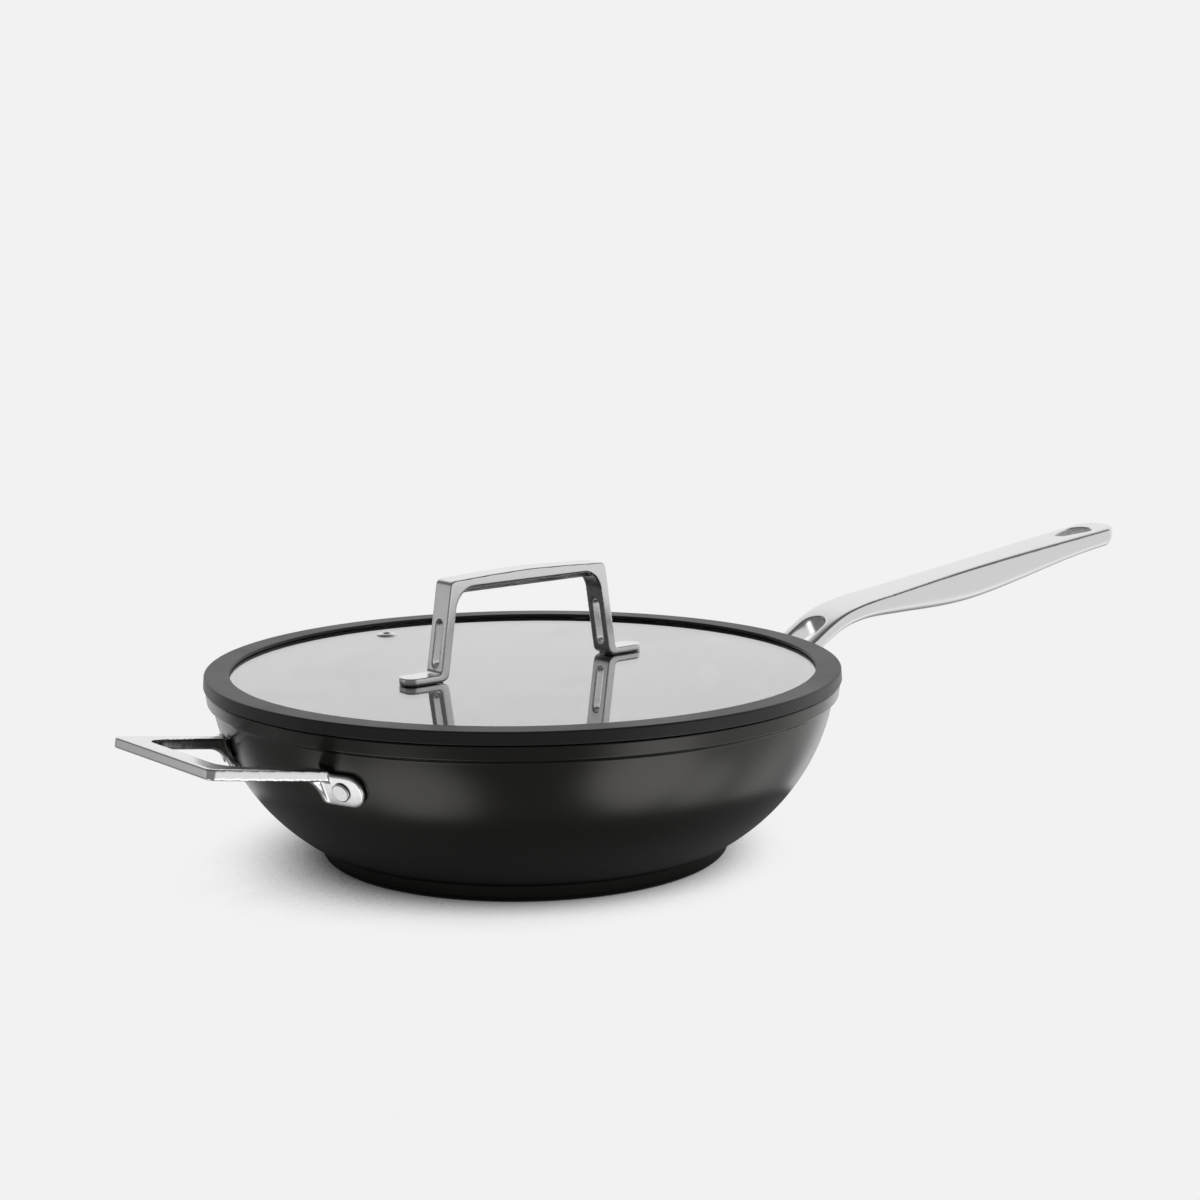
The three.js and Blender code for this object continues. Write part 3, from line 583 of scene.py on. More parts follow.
def makeShell():
    seat = bowl["plateThickness"]
    plateEdge = bowl["foot"] - bowl["footLip"] + bowl["gap"]
    outer = [
        (0, seat, 0),
        (plateEdge, seat, 0.2),
        (plateEdge, bowl["plateProud"], 0.2),
        (bowl["foot"], bowl["plateProud"], bowl["footRound"]),
        (bowl["foot"], bowl["footHeight"], bowl["footFillet"]),
        (wallFoot.x, wallFoot.y, 1.0),
        *wallCurve(wallFoot.y, wallTop.y, 0)[1:-1],
        (wallTop.x, wallTop.y, 1.2),
        (bowl["rim"] - bowl["bandDraft"], bowl["height"] - bowl["band"], 0.9),
        (bowl["rim"], bowl["height"], 0.7),
        (wallRadius(bowl["height"], -bowl["wall"]), bowl["height"], 0.9),
    ]
    blendTop = bowl["floor"] + bowl["floorBlend"] / 2
    inner = wallCurve(bowl["height"], blendTop, -bowl["wall"])[1:]
    floorEdge = Vector((wallRadius(bowl["floor"], -bowl["wall"]), bowl["floor"]))
    blend = softBend(Vector(inner[-1][:2]), floorEdge, floorEdge - Vector((bowl["floorBlend"], 0)))
    inner += [(p.x, p.y, 0) for p in blend[1:]]
    inner.append((0, bowl["floor"], 0))
    mesh = turnedCorners("wokShell", outer + inner, 192, arcStep=8)
    piece = addPiece("wokShell", mesh, "wok", [coatOuter, coatInner], "wok_body",
                     sharp=50)
    midLip = (bowl["rim"] + wallRadius(bowl["height"], -bowl["wall"])) / 2
    midFloor = (seat + bowl["floor"]) / 2
    for face in piece.data.polygons:
        middle = face.center / mm
        radius = math.hypot(middle.x, middle.y)
        inside = middle.z > midFloor and radius < min(midLip, wallRadius(middle.z, -bowl["wall"] / 2))
        face.material_index = 1 if inside else 0


makeShell()
print("bowl made")


basePlate = {"grooves": 2, "grooveWidth": 3, "grooveDepth": 0.4}


def makeBasePlate():
    radius = bowl["foot"] - bowl["footLip"]
    pitch = radius / (basePlate["grooves"] + 1)
    corners = [(0, 0, 0)]
    for i in range(1, basePlate["grooves"] + 1):
        start = i * pitch - basePlate["grooveWidth"] / 2
        end = start + basePlate["grooveWidth"]
        deep = basePlate["grooveDepth"]
        corners += [(start, 0, 0.1), (start + 0.3, deep, 0.15), (end - 0.3, deep, 0.15), (end, 0, 0.1)]
    corners += [(radius, 0, 0.3), (radius, bowl["plateThickness"], 0), (0, bowl["plateThickness"], 0)]
    mesh = turnedCorners("basePlate", corners, 160, arcStep=20)
    addPiece("basePlate", mesh, "wok", [steelBase], "induction_base_plate")


makeBasePlate()
print("base plate made")


# rivets: the spread is the distance between the two of a handle, the drop is from the rim
rivets = {
    "shank": 2.7, "head": 4.2, "headHeight": 0.8, "inner": 6, "innerHeight": 1.2,
    "mountSpread": 39, "mountDrop": 25, "mountGrip": 3.2,
    "helperSpread": 92, "helperDrop": 23.2, "helperGrip": 2.4,
}


def rivetPlaces():
    mountHeight = bowl["height"] - rivets["mountDrop"]
    helperHeight = bowl["height"] - rivets["helperDrop"]
    mount = math.asin(rivets["mountSpread"] / 2 / wallRadius(mountHeight))
    helper = math.asin(rivets["helperSpread"] / 2 / wallRadius(helperHeight))
    return {
        "long_handle_rivet_near": (wallFrame(-mount, mountHeight), rivets["mountGrip"]),
        "long_handle_rivet_far": (wallFrame(mount, mountHeight), rivets["mountGrip"]),
        "helper_rivet_near": (wallFrame(math.pi + helper, helperHeight), rivets["helperGrip"]),
        "helper_rivet_far": (wallFrame(math.pi - helper, helperHeight), rivets["helperGrip"]),
    }


def makeRivets():
    for node, (place, grip) in rivetPlaces().items():
        sag = rivets["inner"] ** 2 / (2 * (bowl["arc"] - bowl["wall"]))
        inside = -bowl["wall"] - bowl["gap"] - sag
        outside = grip + 2 * bowl["gap"]
        head, dome = rivets["head"], rivets["headHeight"]
        corners = [
            (0, inside - rivets["innerHeight"], 0),
            (rivets["inner"], inside - rivets["innerHeight"], 0.9),
            (rivets["inner"], inside, 0.15),
            (rivets["shank"], inside, 0),
            (rivets["shank"], outside, 0),
            (head, outside, 0.1),
            (head, outside + dome * 0.55, 0.25),
            (head - 0.55, outside + dome, 0.5),
            (0, outside + dome, 0),
        ]
        mesh = turnedCorners(node, corners, 56)
        mesh.transform(Matrix.Translation(place.translation * mm) @ place.to_3x3().to_4x4())
        name = "".join(w if i == 0 else w.capitalize() for i, w in enumerate(node.split("_")))
        addPiece(name, mesh, "wok", [steelRivet], node)


makeRivets()
print("rivets made")


def bowlFill(offset):
    # the bowl's wall and all inside it as one solid, grown by an offset
    low, high = bowl["footHeight"], bowl["height"] - bowl["band"]
    curve = wallCurve(low, high, offset, steps=24)
    profile = [(0, low), *[(r, z) for r, z, _ in curve], (0, high)]
    return turnedMesh("bowlFill", profile, 192)


def wallPlate(outline, place, thickness):
    # a plate of even thickness that lies on the wall
    reach = max(p.length for p in outline)
    return carved(prismMesh("plate", outline, reach, place), [
        ("INTERSECT", bowlFill(bowl["gap"] + thickness)),
        ("DIFFERENCE", bowlFill(bowl["gap"])),
    ])


# long handle, one casting
longHandle = {
    "rootDrop": 24.5, "kneeRun": 62, "kneeRise": 34, "length": 214, "rise": 23, "arch": 0.9,
    "forkWidth": 26, "kneeWidth": 24.6, "waistWidth": 20.4, "endWidth": 25,
    "forkDepth": 9.5, "bellyDepth": 18.5, "endDepth": 11.8, "endRound": 9,
    "waistAt": 0.45, "bellyAt": 0.48,  # shares of the grip's length
    "forkEdge": 0.8, "edgeRound": 3, "edgeGrows": (-0.05, 0.6),  # from the flat top down to the widest line
    "bellyPower": 0.62, "topPower": 0.35,  # 1 is an ellipse, less is squarer
    "eyeWidth": 13.6, "eyeLength": 48, "eyeStart": 14,
    "slotLength": 35, "slotWidth": 16.5, "slotInset": 12.8, "slotWall": 0.6,  # normals this level are walls
    "mountWidth": 57, "mountHeight": 21, "mountThickness": 3.2, "mountCorner": 9,
    "voxel": 0.45, "softening": 15,
}


def smoothStep(x, low, high):
    t = min(1, max(0, (x - low) / (high - low)))
    return t * t * (3 - 2 * t)


def lerp(a, b, t):
    return a + (b - a) * t


def splinePoint(points, t):
    # a smooth curve through all points
    spot = t * (len(points) - 1)
    i = min(int(spot), len(points) - 2)
    w = spot - i
    p0, p1, p2, p3 = (points[min(max(k, 0), len(points) - 1)] for k in (i - 1, i, i + 1, i + 2))
    v0, v1 = (p2 - p0) / 2, (p3 - p1) / 2
    return (p1 * 2 - p2 * 2 + v0 + v1) * w ** 3 + (p2 * 3 - p1 * 3 - v0 * 2 - v1) * w ** 2 + v0 * w + p1


def makeLongHandle():
    size = longHandle
    rootHeight = bowl["height"] - size["rootDrop"]
    root = Vector((wallRadius(rootHeight), rootHeight))
    knee = root + Vector((size["kneeRun"], size["kneeRise"]))
    sunk = Vector((size["kneeRun"], size["kneeRise"])).normalized() * size["mountThickness"] * 3
    gripLength = size["length"] - size["endRound"]

    def grip(f):
        return Vector((knee.x + gripLength * f, knee.y + size["rise"] * f + size["arch"] * 4 * f * (1 - f)))

    line = [root - sunk, root, root.lerp(knee, 0.5), root.lerp(knee, 0.88),
            *[grip(f) for f in (0.06, 0.2, 0.4, 0.6, 0.8, 1)]]

    def width(f):
        if f < 0:
            return lerp(size["kneeWidth"], size["forkWidth"], min(1, -f * 4))
        slim = lerp(size["kneeWidth"], size["waistWidth"], smoothStep(f, 0, size["waistAt"]))
        return lerp(slim, size["endWidth"], smoothStep(f, size["waistAt"], 1))

    def depth(f):
        deep = lerp(size["forkDepth"], size["bellyDepth"], smoothStep(f, 0, size["bellyAt"]))
        return lerp(deep, size["endDepth"], smoothStep(f, size["bellyAt"], 1))

    def section(place, ahead, halfWidth, deep, edge, sides=40):
        # rounded belly, then a flat top with soft edges
        ring = []
        for k in range(2 * sides):
            a = math.pi * k / sides
            c, s = math.cos(a), math.sin(a)
            power = size["bellyPower"] if s > 0 else size["topPower"]
            across = -halfWidth * math.copysign(abs(c) ** power, c)
            down = edge + math.copysign(abs(s) ** power, s) * (deep - edge if s > 0 else edge)
            ring.append(Vector((place.x + ahead.y * down, across, place.y - ahead.x * down)))
        return ring

    stations = 150
    rings = []
    for i in range(stations + 1):
        t = i / stations
        place = splinePoint(line, t)
        ahead = (splinePoint(line, min(1, t + 0.002)) - splinePoint(line, max(0, t - 0.002))).normalized()
        f = (place.x - knee.x) / gripLength
        edge = lerp(size["forkEdge"], size["edgeRound"], smoothStep(f, *size["edgeGrows"]))
        rings.append(section(place, ahead, width(f) / 2, depth(f), edge))
    tip = line[-1]
    # the end rounds off over most of a quarter turn
    for turn in (0.1, 0.2, 0.3, 0.45, 0.6, 0.75, 0.9, 1.05, 1.15, 1.25, 1.35):
        shrink = 1 - math.cos(turn)
        place = tip + ahead * size["endRound"] * math.sin(turn)
        rings.append(section(place, ahead, size["endWidth"] / 2 - size["endRound"] * shrink,
                             size["endDepth"] * (1 - shrink / 2), edge))
    fork = Vector((size["kneeRun"], 0, size["kneeRise"])).normalized()
    forkPlace = placeAlong((root.x, 0, root.y), fork)
    half = size["eyeWidth"] / 2
    eye = roundedBox(size["eyeStart"], -half, size["eyeStart"] + size["eyeLength"], half, half)
    slotEnd = knee.x + size["length"] - size["slotInset"]
    slotStart = slotEnd - size["slotLength"]
    wide, blunt, point = (size["slotWidth"] * share for share in (0.55, 0.45, 0.2))
    slot = roundedLine([(slotStart, 0, point), (slotEnd, -wide, blunt), (slotEnd, wide, blunt)])
    mountW, mountH = size["mountWidth"] / 2, size["mountHeight"] / 2
    mount = roundedBox(-mountW, -mountH, mountW, mountH, size["mountCorner"])
    mountPlace = wallFrame(0, bowl["height"] - rivets["mountDrop"])
    mesh = carved(loftedMesh("longHandle", rings), [
        ("DIFFERENCE", prismMesh("eye", eye, 60, forkPlace)),
        ("DIFFERENCE", prismMesh("slot", slot, 90, Matrix.Translation((0, 0, tip.y)))),
        ("DIFFERENCE", bowlFill(bowl["gap"] + size["mountThickness"] / 2)),
        ("UNION", wallPlate(mount, mountPlace, size["mountThickness"])),
    ])
    mesh = castSkin(mesh, size["voxel"], size["softening"])
    piece = addPiece("longHandle", mesh, "wok", [steelCast, steelSlot], "long_handle", sharp=0)
    for face in piece.data.polygons:
        middle = face.center / mm
        inSlot = slotStart < middle.x < slotEnd and abs(middle.y) < wide
        face.material_index = 1 if inSlot and abs(face.normal.z) < size["slotWall"] else 0


makeLongHandle()
print("long handle made")


# helper handle, one casting
helperHandle = {
    "projection": 42.7, "drop": 7, "tilt": 9, "splay": 3.2, "width": 80, "thickness": 4.7,
    "bar": 10.5, "arm": 8, "corner": 3.6, "innerCorner": 10,
    "lugThickness": 2.4, "lugHeight": 14.8, "lugOverhang": 10.4, "lugCorner": 7,
    "web": 3.2, "gusset": 13, "webBend": 5.4, "webProud": 0.6,
    "voxel": 0.4, "softening": 20,
}


def makeHelperHandle():
    size = helperHandle
    tilt, splayTan = math.radians(size["tilt"]), math.tan(math.radians(size["splay"]))
    inward = Vector((math.cos(tilt), 0, -math.sin(tilt)))
    reach, top = bowl["rim"] + size["projection"], bowl["height"] - size["drop"]
    loopPlace = placeAlong((-reach, 0, top), inward) @ Matrix.Translation((0, 0, -size["thickness"] / 2))
    half = size["width"] / 2
    gap, run = half - size["arm"], reach - wallCentre.x
    flare = run * splayTan
    loop = roundedLine([
        (0, -half, size["corner"]), (run, -half - flare, 0), (run, -gap - flare, 0),
        (size["bar"], -gap, size["innerCorner"]), (size["bar"], gap, size["innerCorner"]),
        (run, gap + flare, 0), (run, half + flare, 0), (0, half, size["corner"]),
    ])
    body = prismMesh("loop", loop, size["thickness"], loopPlace)

    lugHeight = bowl["height"] - rivets["helperDrop"]
    lugFoot = lugHeight - size["lugHeight"] / 2 * math.cos(wallLean(lugHeight))
    armSide = half + size["projection"] * splayTan
    webSide = armSide - size["arm"] + size["web"] / 2
    webFoot = -math.sqrt(wallRadius(lugFoot, size["lugThickness"]) ** 2 - webSide ** 2)

    def onArm(x, share):
        # a point of the arm's side, at a share of its thickness down from its top
        down = size["thickness"] * share / math.cos(tilt)
        return Vector((x, top - (x + reach) * math.tan(tilt) - down))

    start, back = webFoot - size["gusset"], webFoot + 2 * size["arm"]
    foot = Vector((webFoot - size["webProud"], lugFoot))
    web = softBend(foot, onArm(webFoot - size["webBend"], 1), onArm(start, 1))
    web += [onArm(start, 0.5), onArm(back, 0.5), Vector((back, lugFoot))]
    cuts = []
    for side in (-1, 1):
        shift = Matrix.Translation((0, side * (webSide + bowl["rim"] * splayTan), 0))
        alongArm = Matrix(((1, 0, 0, 0), (side * splayTan, 1, 0, 0), (0, 0, 1, 0), (0, 0, 0, 1)))
        cuts.append(("UNION", prismMesh("web", web, size["web"], alongArm @ shift @ sideOn)))
    cuts.append(("DIFFERENCE", bowlFill(bowl["gap"] + size["lugThickness"] / 2)))
    inner = rivets["helperSpread"] / 2 - armSide + size["arm"]
    lugHalf, corner = size["lugHeight"] / 2, size["lugCorner"]
    for side, node in ((1, "helper_rivet_near"), (-1, "helper_rivet_far")):
        root, tip, high = -side * inner, side * size["lugOverhang"], side * lugHalf
        lug = roundedLine([(root, -high, corner / 4), (tip, -high, corner),
                           (tip, high, corner), (root, high, corner / 4)])
        cuts.append(("UNION", wallPlate(lug, rivetPlaces()[node][0], size["lugThickness"])))
    mesh = castSkin(carved(body, cuts), size["voxel"], size["softening"])
    addPiece("helperHandle", mesh, "wok", [steelCast], "helper_handle", sharp=0)


makeHelperHandle()
print("helper handle made")


# lid: soft ring, glass and steam vent
lid = {
    "overhang": 0.2, "ringHeight": 5.5, "ringWidth": 11.2, "flare": 0.4, "edge": 0.9,
    "lipDrop": 3.6, "lipWidth": 6, "lipClearance": 0.7,
    "glass": 4, "glassEdge": 1, "recess": 1.8, "grip": 3,
    "ventInset": 21.8, "vent": 4.9, "ventTube": 3, "ventBore": 1.5, "ventFlange": 0.8,
}
ringFoot = bowl["height"] + bowl["gap"]
ringTop = ringFoot + lid["ringHeight"]
glassTop = ringTop - lid["recess"]
glassFoot = glassTop - lid["glass"]
ringRadius = bowl["rim"] + lid["overhang"]
ringInner = ringRadius - lid["ringWidth"]
glassRadius = ringInner + lid["grip"]
ventPlace = ringInner - lid["ventInset"]


def makeLidRing():
    gap = bowl["gap"]
    lipFoot = ringFoot - lid["lipDrop"]
    lipOuter = wallRadius(lipFoot, -bowl["wall"]) - lid["lipClearance"]
    lipInner = lipOuter - lid["lipWidth"]
    groove = glassRadius + gap
    corners = [
        (lipInner, lipFoot, lid["edge"]),
        (lipOuter, lipFoot, lid["edge"]),
        (lipOuter, ringFoot, 0.3),
        (ringRadius + lid["flare"], ringFoot, 0.5),
        (ringRadius, ringTop, lid["edge"]),
        (ringInner, ringTop, 0.5),
        (ringInner, glassTop + gap, 0.15),
        (groove, glassTop + gap, 0),
        (groove, glassFoot - gap, 0),
        (lipInner, glassFoot - gap, 0.4),
    ]
    mesh = turnedCorners("lidRing", corners, 192, closed=True)
    addPiece("lidRing", mesh, "lid", [siliconeRing], "lid_rim")


# lid handle, one casting on two screwed feet
bridge = {
    "height": 45.9, "width": 11.5, "topLength": 87, "legLength": 99.5, "footLength": 133.5,
    "bar": 4.2, "swell": 2.7, "swellSlope": 0.84, "leg": 4, "crown": 2, "crownRadius": 440,
    "pad": 3.2, "padCorner": 4.5,
    "innerCorner": 11, "outerCorner": 2.6,
    "slotWidth": 4.8, "slotLength": 21, "slotLift": 2.4,
    "gasket": 0.3, "gasketInset": 0.5,
    "screwInset": 8, "screw": 2, "screwHead": 4, "screwHeadHeight": 2.2, "screwGrip": 2.1,
    "recessArm": 2.2, "recessHalf": 0.45, "recessDepth": 1.2,
    "washer": 5.6, "washerThickness": 0.8, "seal": 6.2, "sealThickness": 1.2,
    "voxel": 0.4, "softening": 8,
}
bridgeFoot = glassTop + bridge["gasket"]
screwPlace = bridge["footLength"] / 2 - bridge["screwInset"]


def makeLidGlass():
    edge = lid["glassEdge"]
    corners = [(0, glassFoot, 0), (glassRadius, glassFoot, edge), (glassRadius, glassTop, edge),
               (0, glassTop, 0)]

    def drill(x, y, radius):
        ring = [Vector((radius * math.cos(a), radius * math.sin(a))) for a in
                (2 * math.pi * k / 48 for k in range(48))]
        return "DIFFERENCE", prismMesh("drill", ring, lid["glass"] * 3, Matrix.Translation((x, y, glassTop)))

    screwHole = bridge["screw"] + 2 * bowl["gap"]
    holes = [drill(x, 0, screwHole) for x in (-screwPlace, screwPlace)]
    holes.append(drill(0, ventPlace, lid["ventTube"] + bowl["gap"]))
    mesh = carved(turnedCorners("lidGlass", corners, 192), holes)
    addPiece("lidGlass", mesh, "lid", [glassClear], "lid_glass", sharp=30)


def makeVent():
    bore, tube, wide, flange = (lid[k] for k in ("ventBore", "ventTube", "vent", "ventFlange"))
    under = wide * 0.9
    low, high = glassFoot - flange, glassTop + flange
    corners = [
        (bore, low, 0.15), (under, low, 0.3), (under, glassFoot, 0), (tube, glassFoot, 0),
        (tube, glassTop, 0), (wide, glassTop, 0), (wide, glassTop + flange / 2, 0.25),
        (wide - flange, high, 0.5), (tube, high, 0.4), (bore, glassTop, 0.3),
    ]
    mesh = turnedCorners("steamVent", corners, 64, closed=True)
    mesh.transform(Matrix.Translation((0, ventPlace * mm, 0)))
    addPiece("steamVent", mesh, "lid", [steelRivet], "steam_vent")


makeLidRing()
makeLidGlass()
makeVent()
print("lid made")


def makeBridge():
    size = bridge
    foot, legFoot, legTop = size["footLength"] / 2, size["legLength"] / 2, size["topLength"] / 2
    shoulder = size["height"] - size["crown"]
    barFoot = size["height"] - size["bar"] - size["crown"] / 2
    half = [(foot, 0, 0), (foot, size["pad"], 0.4), (legFoot, size["pad"], 2),
            (legTop, shoulder, size["outerCorner"]), (0, size["height"], size["crownRadius"])]
    mirrored = [(-x, z, r) for x, z, r in reversed(half[:-1])]
    inside = [(-legFoot + size["leg"], 0, size["leg"]), (-legTop + size["leg"], barFoot, size["innerCorner"]),
              (legTop - size["leg"], barFoot, size["innerCorner"]), (legFoot - size["leg"], 0, size["leg"])]
    profile = roundedLine(half + mirrored + inside, arcStep=4)
    body = prismMesh("bridge", profile, size["width"] * 2, sideOn)
    w = size["width"] / 2
    plan = roundedBox(-foot, -w, foot, w, size["padCorner"])
    low, s = size["pad"] + size["slotLift"], size["slotWidth"] / 2
    legSlot = roundedBox(-s, low, s, low + size["slotLength"], s)
    # the bar's underside is bevelled to a keel
    keel = w - size["swell"] * size["swellSlope"]
    keelFoot, middle = barFoot - size["swell"], barFoot + size["bar"] / 2
    swell = [Vector(p) for p in ((-w, barFoot), (-keel, keelFoot), (keel, keelFoot), (w, barFoot),
                                 (w, middle), (-w, middle))]
    mesh = carved(body, [
        ("INTERSECT", prismMesh("plan", plan, size["height"] * 4)),
        ("UNION", prismMesh("swell", swell, size["topLength"] - size["leg"], endOn)),
        ("DIFFERENCE", prismMesh("legSlot", legSlot, foot * 4, endOn)),
    ])
    mesh = castSkin(mesh, size["voxel"], size["softening"])
    mesh.transform(Matrix.Translation((0, 0, bridgeFoot * mm)))
    addPiece("lidHandle", mesh, "lid", [steelCast], "lid_handle", sharp=0)


def makeFootFixing(side, sign):
    size, gap = bridge, bowl["gap"]
    x = sign * screwPlace
    inner = size["legLength"] / 2 - size["leg"] / 2 + size["gasketInset"]
    outer = size["footLength"] / 2 - size["gasketInset"]
    w, corner = size["width"] / 2 - size["gasketInset"], size["padCorner"]
    outline = roundedLine([(sign * a, sign * b, radius) for a, b, radius in (
        (inner, -w, 0.5), (outer, -w, corner), (outer, w, corner), (inner, w, 0.5))])
    middle = glassTop + size["gasket"] / 2
    gasket = prismMesh("gasket", outline, size["gasket"], Matrix.Translation((0, 0, middle)))
    name = side.capitalize()
    addPiece("gasket" + name, gasket, "lid", [siliconeRing], "lid_handle_gasket_" + side)

    def disc(label, radius, top, thickness, material, node):
        bore = size["screw"] + gap
        foot = top - thickness
        corners = [(bore, foot, 0.1), (radius, foot, 0.3), (radius, top, 0.1), (bore, top, 0)]
        mesh = turnedCorners(label, corners, 64, closed=True, arcStep=20)
        mesh.transform(Matrix.Translation((x * mm, 0, 0)))
        addPiece(label, mesh, "lid", [material], node)

    sealFoot = glassFoot - size["sealThickness"]
    washerFoot = sealFoot - size["washerThickness"]
    disc("seal" + name, size["seal"], glassFoot, size["sealThickness"], siliconeRing,
         "lid_handle_seal_" + side)
    disc("washer" + name, size["washer"], sealFoot, size["washerThickness"], steelRivet,
         "lid_handle_washer_" + side)

    headFoot, head = washerFoot - size["screwHeadHeight"], size["screwHead"]
    shank, screwTop = size["screw"], bridgeFoot + size["screwGrip"]
    corners = [(0, headFoot, 0), (head, headFoot, 0.8), (head, washerFoot, 0.15), (shank, washerFoot, 0),
               (shank, screwTop, 0.3), (0, screwTop, 0)]
    arm, thick = size["recessArm"], size["recessHalf"]
    quarter = [Vector(p) for p in ((-arm, -thick), (-thick, -thick), (-thick, -arm))]
    cross = [Matrix.Rotation(math.pi / 2 * k, 2) @ p for k in range(4) for p in quarter]
    recess = prismMesh("recess", cross, 2 * size["recessDepth"], Matrix.Translation((0, 0, headFoot)))
    mesh = carved(turnedCorners("screw" + name, corners, 64), [("DIFFERENCE", recess)])
    mesh.transform(Matrix.Translation((x * mm, 0, 0)))
    addPiece("screw" + name, mesh, "lid", [steelRivet], "lid_handle_screw_" + side, sharp=30)


makeBridge()
for side, sign in (("left", -1), ("right", 1)):
    makeFootFixing(side, sign)
print("lid handle made")


# floor, backdrop colour and soft studio light
# bearings in degrees: 0 is towards the camera, 90 is right, 180 is behind
studio = {
    "backdrop": 0.887,  # the photograph's pale grey
    "floorTone": 0.9, "floorHalf": 14,
    "shadowReach": 0.11, "shadowLean": (0.2, 0.0), "shadowRange": (0.04, 0.5),
    "nearFloor": 151, "nearFloorBlur": 0.04, "nearFloorShade": 0.15,  # the floor that the bowl mirrors, in mm; reflections see it as a dim glow, a painted shade
    "skyLevel": 0.3, "dimLevel": 0.2, "ceilingLevel": 0.11,
    "backBearing": 165, "backSpread": (0.25, 0.62),  # cosines over which the bright back wall begins sideways
    "backTop": (0.6, 0.84),  # heights over which it ends
    "backFoot": (-0.62, -0.34),  # and over which it begins
    "sideTop": (0.18, 0.36),  # heights over which the pale surroundings end
    "panels": (  # bearing, height, core, edge, level
        (-50, -46, 6, 25, 1.35), (-82, -38, 3, 16, 1.1), (-98, -5, 8, 26, 0.5),
        (52, -39, 10, 26, 1.75), (55, -14, 5, 24, 0.88), (90, -14, 18, 75, 0.72),
        (84, -42, 4, 15, 1.4), (116, -33, 5, 17, 0.95), (152, -15, 6, 17, 1.2),
    ),
    "sunLevel": 0.9, "sunAngle": 40, "sunBearing": 125, "sunHeight": 60,
}


def bearing(degrees, height=0):
    # a direction from the wok, counted from the camera's side
    a, h = math.radians(degrees), math.radians(height)
    turn = Matrix.Rotation(-math.radians(cameraView["side"]), 3, "Z")
    return turn @ Vector((math.sin(a) * math.cos(h), -math.cos(a) * math.cos(h), math.sin(h)))


def addDot(tree, vector, direction):
    node = addNode(tree, "ShaderNodeVectorMath", operation="DOT_PRODUCT")
    tree.links.new(vector, node.inputs[0])
    node.inputs[1].default_value = direction
    return node.outputs["Value"]


def addSoftRange(tree, value, low, high, toLow, toHigh):
    result = addRange(tree, value, low, high, toLow, toHigh)
    result.node.interpolation_type = "SMOOTHSTEP"
    return result


def addGlow(tree, strength):
    glow = addNode(tree, "ShaderNodeEmission")
    tree.links.new(strength, glow.inputs["Strength"])
    return glow.outputs[0]


def mixShaders(tree, factor, first, second):
    mix = addNode(tree, "ShaderNodeMixShader")
    feedAll(tree, mix.inputs, (factor, first, second))
    return mix.outputs[0]


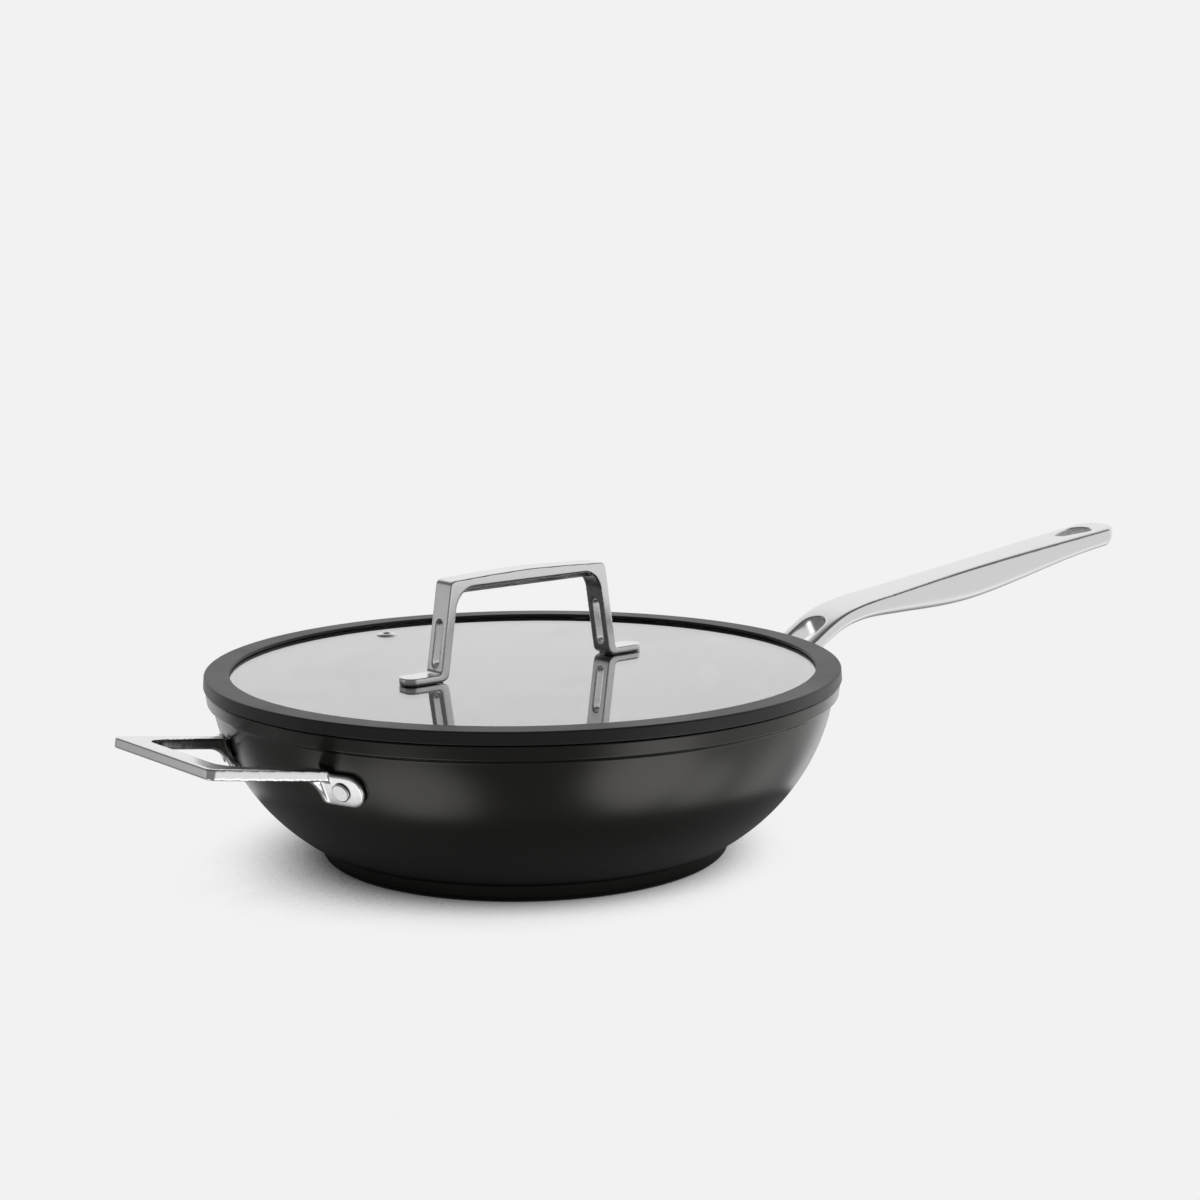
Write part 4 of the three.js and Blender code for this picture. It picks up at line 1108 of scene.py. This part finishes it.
def makeFloor():
    half = studio["floorHalf"]
    mesh = bpy.data.meshes.new("studioFloor")
    corners = [(-half, -half, 0), (half, -half, 0), (half, half, 0), (-half, half, 0)]
    mesh.from_pydata(corners, [], [(0, 1, 2, 3)])
    material, tree, shader = newMaterial("floorPaper", Roughness=0.9, Specular_IOR_Level=0.0)
    tone = studio["floorTone"]
    shader.inputs["Base Color"].default_value = (tone, tone, tone, 1)
    occlusion = addNode(tree, "ShaderNodeAmbientOcclusion", samples=16, Distance=studio["shadowReach"])
    right, back = studio["shadowLean"]
    lean = bearing(90) * right + bearing(180) * back + Vector((0, 0, 1))
    leanNode = addNode(tree, "ShaderNodeCombineXYZ")
    feedAll(tree, leanNode.inputs, lean.normalized())
    tree.links.new(leanNode.outputs[0], occlusion.inputs["Normal"])
    shade = addSoftRange(tree, occlusion.outputs["AO"], *studio["shadowRange"], 0.0, 1.0)
    path = addNode(tree, "ShaderNodeLightPath")
    paper = addGlow(tree, addMath(tree, "MULTIPLY", shade, studio["backdrop"]))
    # what reflections see of the floor close by: a dim glow, a painted shade darker than the floor itself
    near = addGlow(tree, addMath(tree, "MULTIPLY", shade, studio["nearFloorShade"]))
    clear = addNode(tree, "ShaderNodeBsdfTransparent").outputs[0]
    length = addNode(tree, "ShaderNodeVectorMath", operation="LENGTH")
    tree.links.new(addNode(tree, "ShaderNodeNewGeometry").outputs["Position"], length.inputs[0])
    edge, blur = studio["nearFloor"] * mm, studio["nearFloorBlur"]
    far = addSoftRange(tree, length.outputs["Value"], edge * (1 - blur), edge * (1 + blur), 0.0, 1.0)
    mirrored = mixShaders(tree, far, near, clear)  # gloss sees the floor close by as a dim glow, a painted shade, and past it the studio
    lit = mixShaders(tree, path.outputs["Is Glossy Ray"], shader.outputs[0], mirrored)
    seen = addMath(tree, "MAXIMUM", path.outputs["Is Camera Ray"], path.outputs["Is Transmission Ray"])
    final = mixShaders(tree, seen, lit, paper)
    tree.links.new(final, tree.nodes["Material Output"].inputs["Surface"])
    mesh.materials.append(material)
    floor = bpy.data.objects.new("studioFloor", mesh)
    scene.collection.objects.link(floor)


def makeLight():
    world = bpy.data.worlds.new("studioWorld")
    world.use_nodes = True
    scene.world = world
    tree = world.node_tree
    light = tree.nodes["Background"]
    light.inputs["Color"].default_value = (1, 1, 1, 1)
    way = addNode(tree, "ShaderNodeTexCoord").outputs["Generated"]
    height = addDot(tree, way, Vector((0, 0, 1)))
    sides = studio["dimLevel"]
    for turn, rise, core, edge, level in studio["panels"]:
        towards = addDot(tree, way, bearing(turn, rise))
        low, high = (math.cos(math.radians(a)) for a in (edge, core))
        sides = addMath(tree, "MAXIMUM", sides, addSoftRange(tree, towards, low, high, 0.0, level))
    sides = addSoftRange(tree, height, *studio["sideTop"], sides, studio["ceilingLevel"])
    towards = addDot(tree, way, bearing(studio["backBearing"]))
    back = addSoftRange(tree, towards, *studio["backSpread"], 0.0, studio["backdrop"])
    back = addSoftRange(tree, height, *studio["backTop"], back, 0.0)
    back = addSoftRange(tree, height, *studio["backFoot"], 0.0, back)
    room = addMath(tree, "MAXIMUM", sides, back)
    path = addNode(tree, "ShaderNodeLightPath")
    mirrored = addMath(tree, "MAXIMUM", path.outputs["Is Glossy Ray"], path.outputs["Is Transmission Ray"])
    strength = addRange(tree, mirrored, 0, 1, studio["skyLevel"], room)
    strength = addRange(tree, path.outputs["Is Camera Ray"], 0, 1, strength, studio["backdrop"])
    tree.links.new(strength, light.inputs["Strength"])

    data = bpy.data.lights.new("studioSun", "SUN")
    data.energy = studio["sunLevel"]
    data.angle = math.radians(studio["sunAngle"])
    sun = bpy.data.objects.new("studioSun", data)
    towards = bearing(studio["sunBearing"], studio["sunHeight"])
    sun.rotation_euler = towards.to_track_quat("Z", "Y").to_euler()
    sun.visible_glossy = False  # metal mirrors the panels, not the sun's disc
    scene.collection.objects.link(sun)


makeFloor()
makeLight()
scene.view_settings.view_transform = "Standard"
print("studio made")
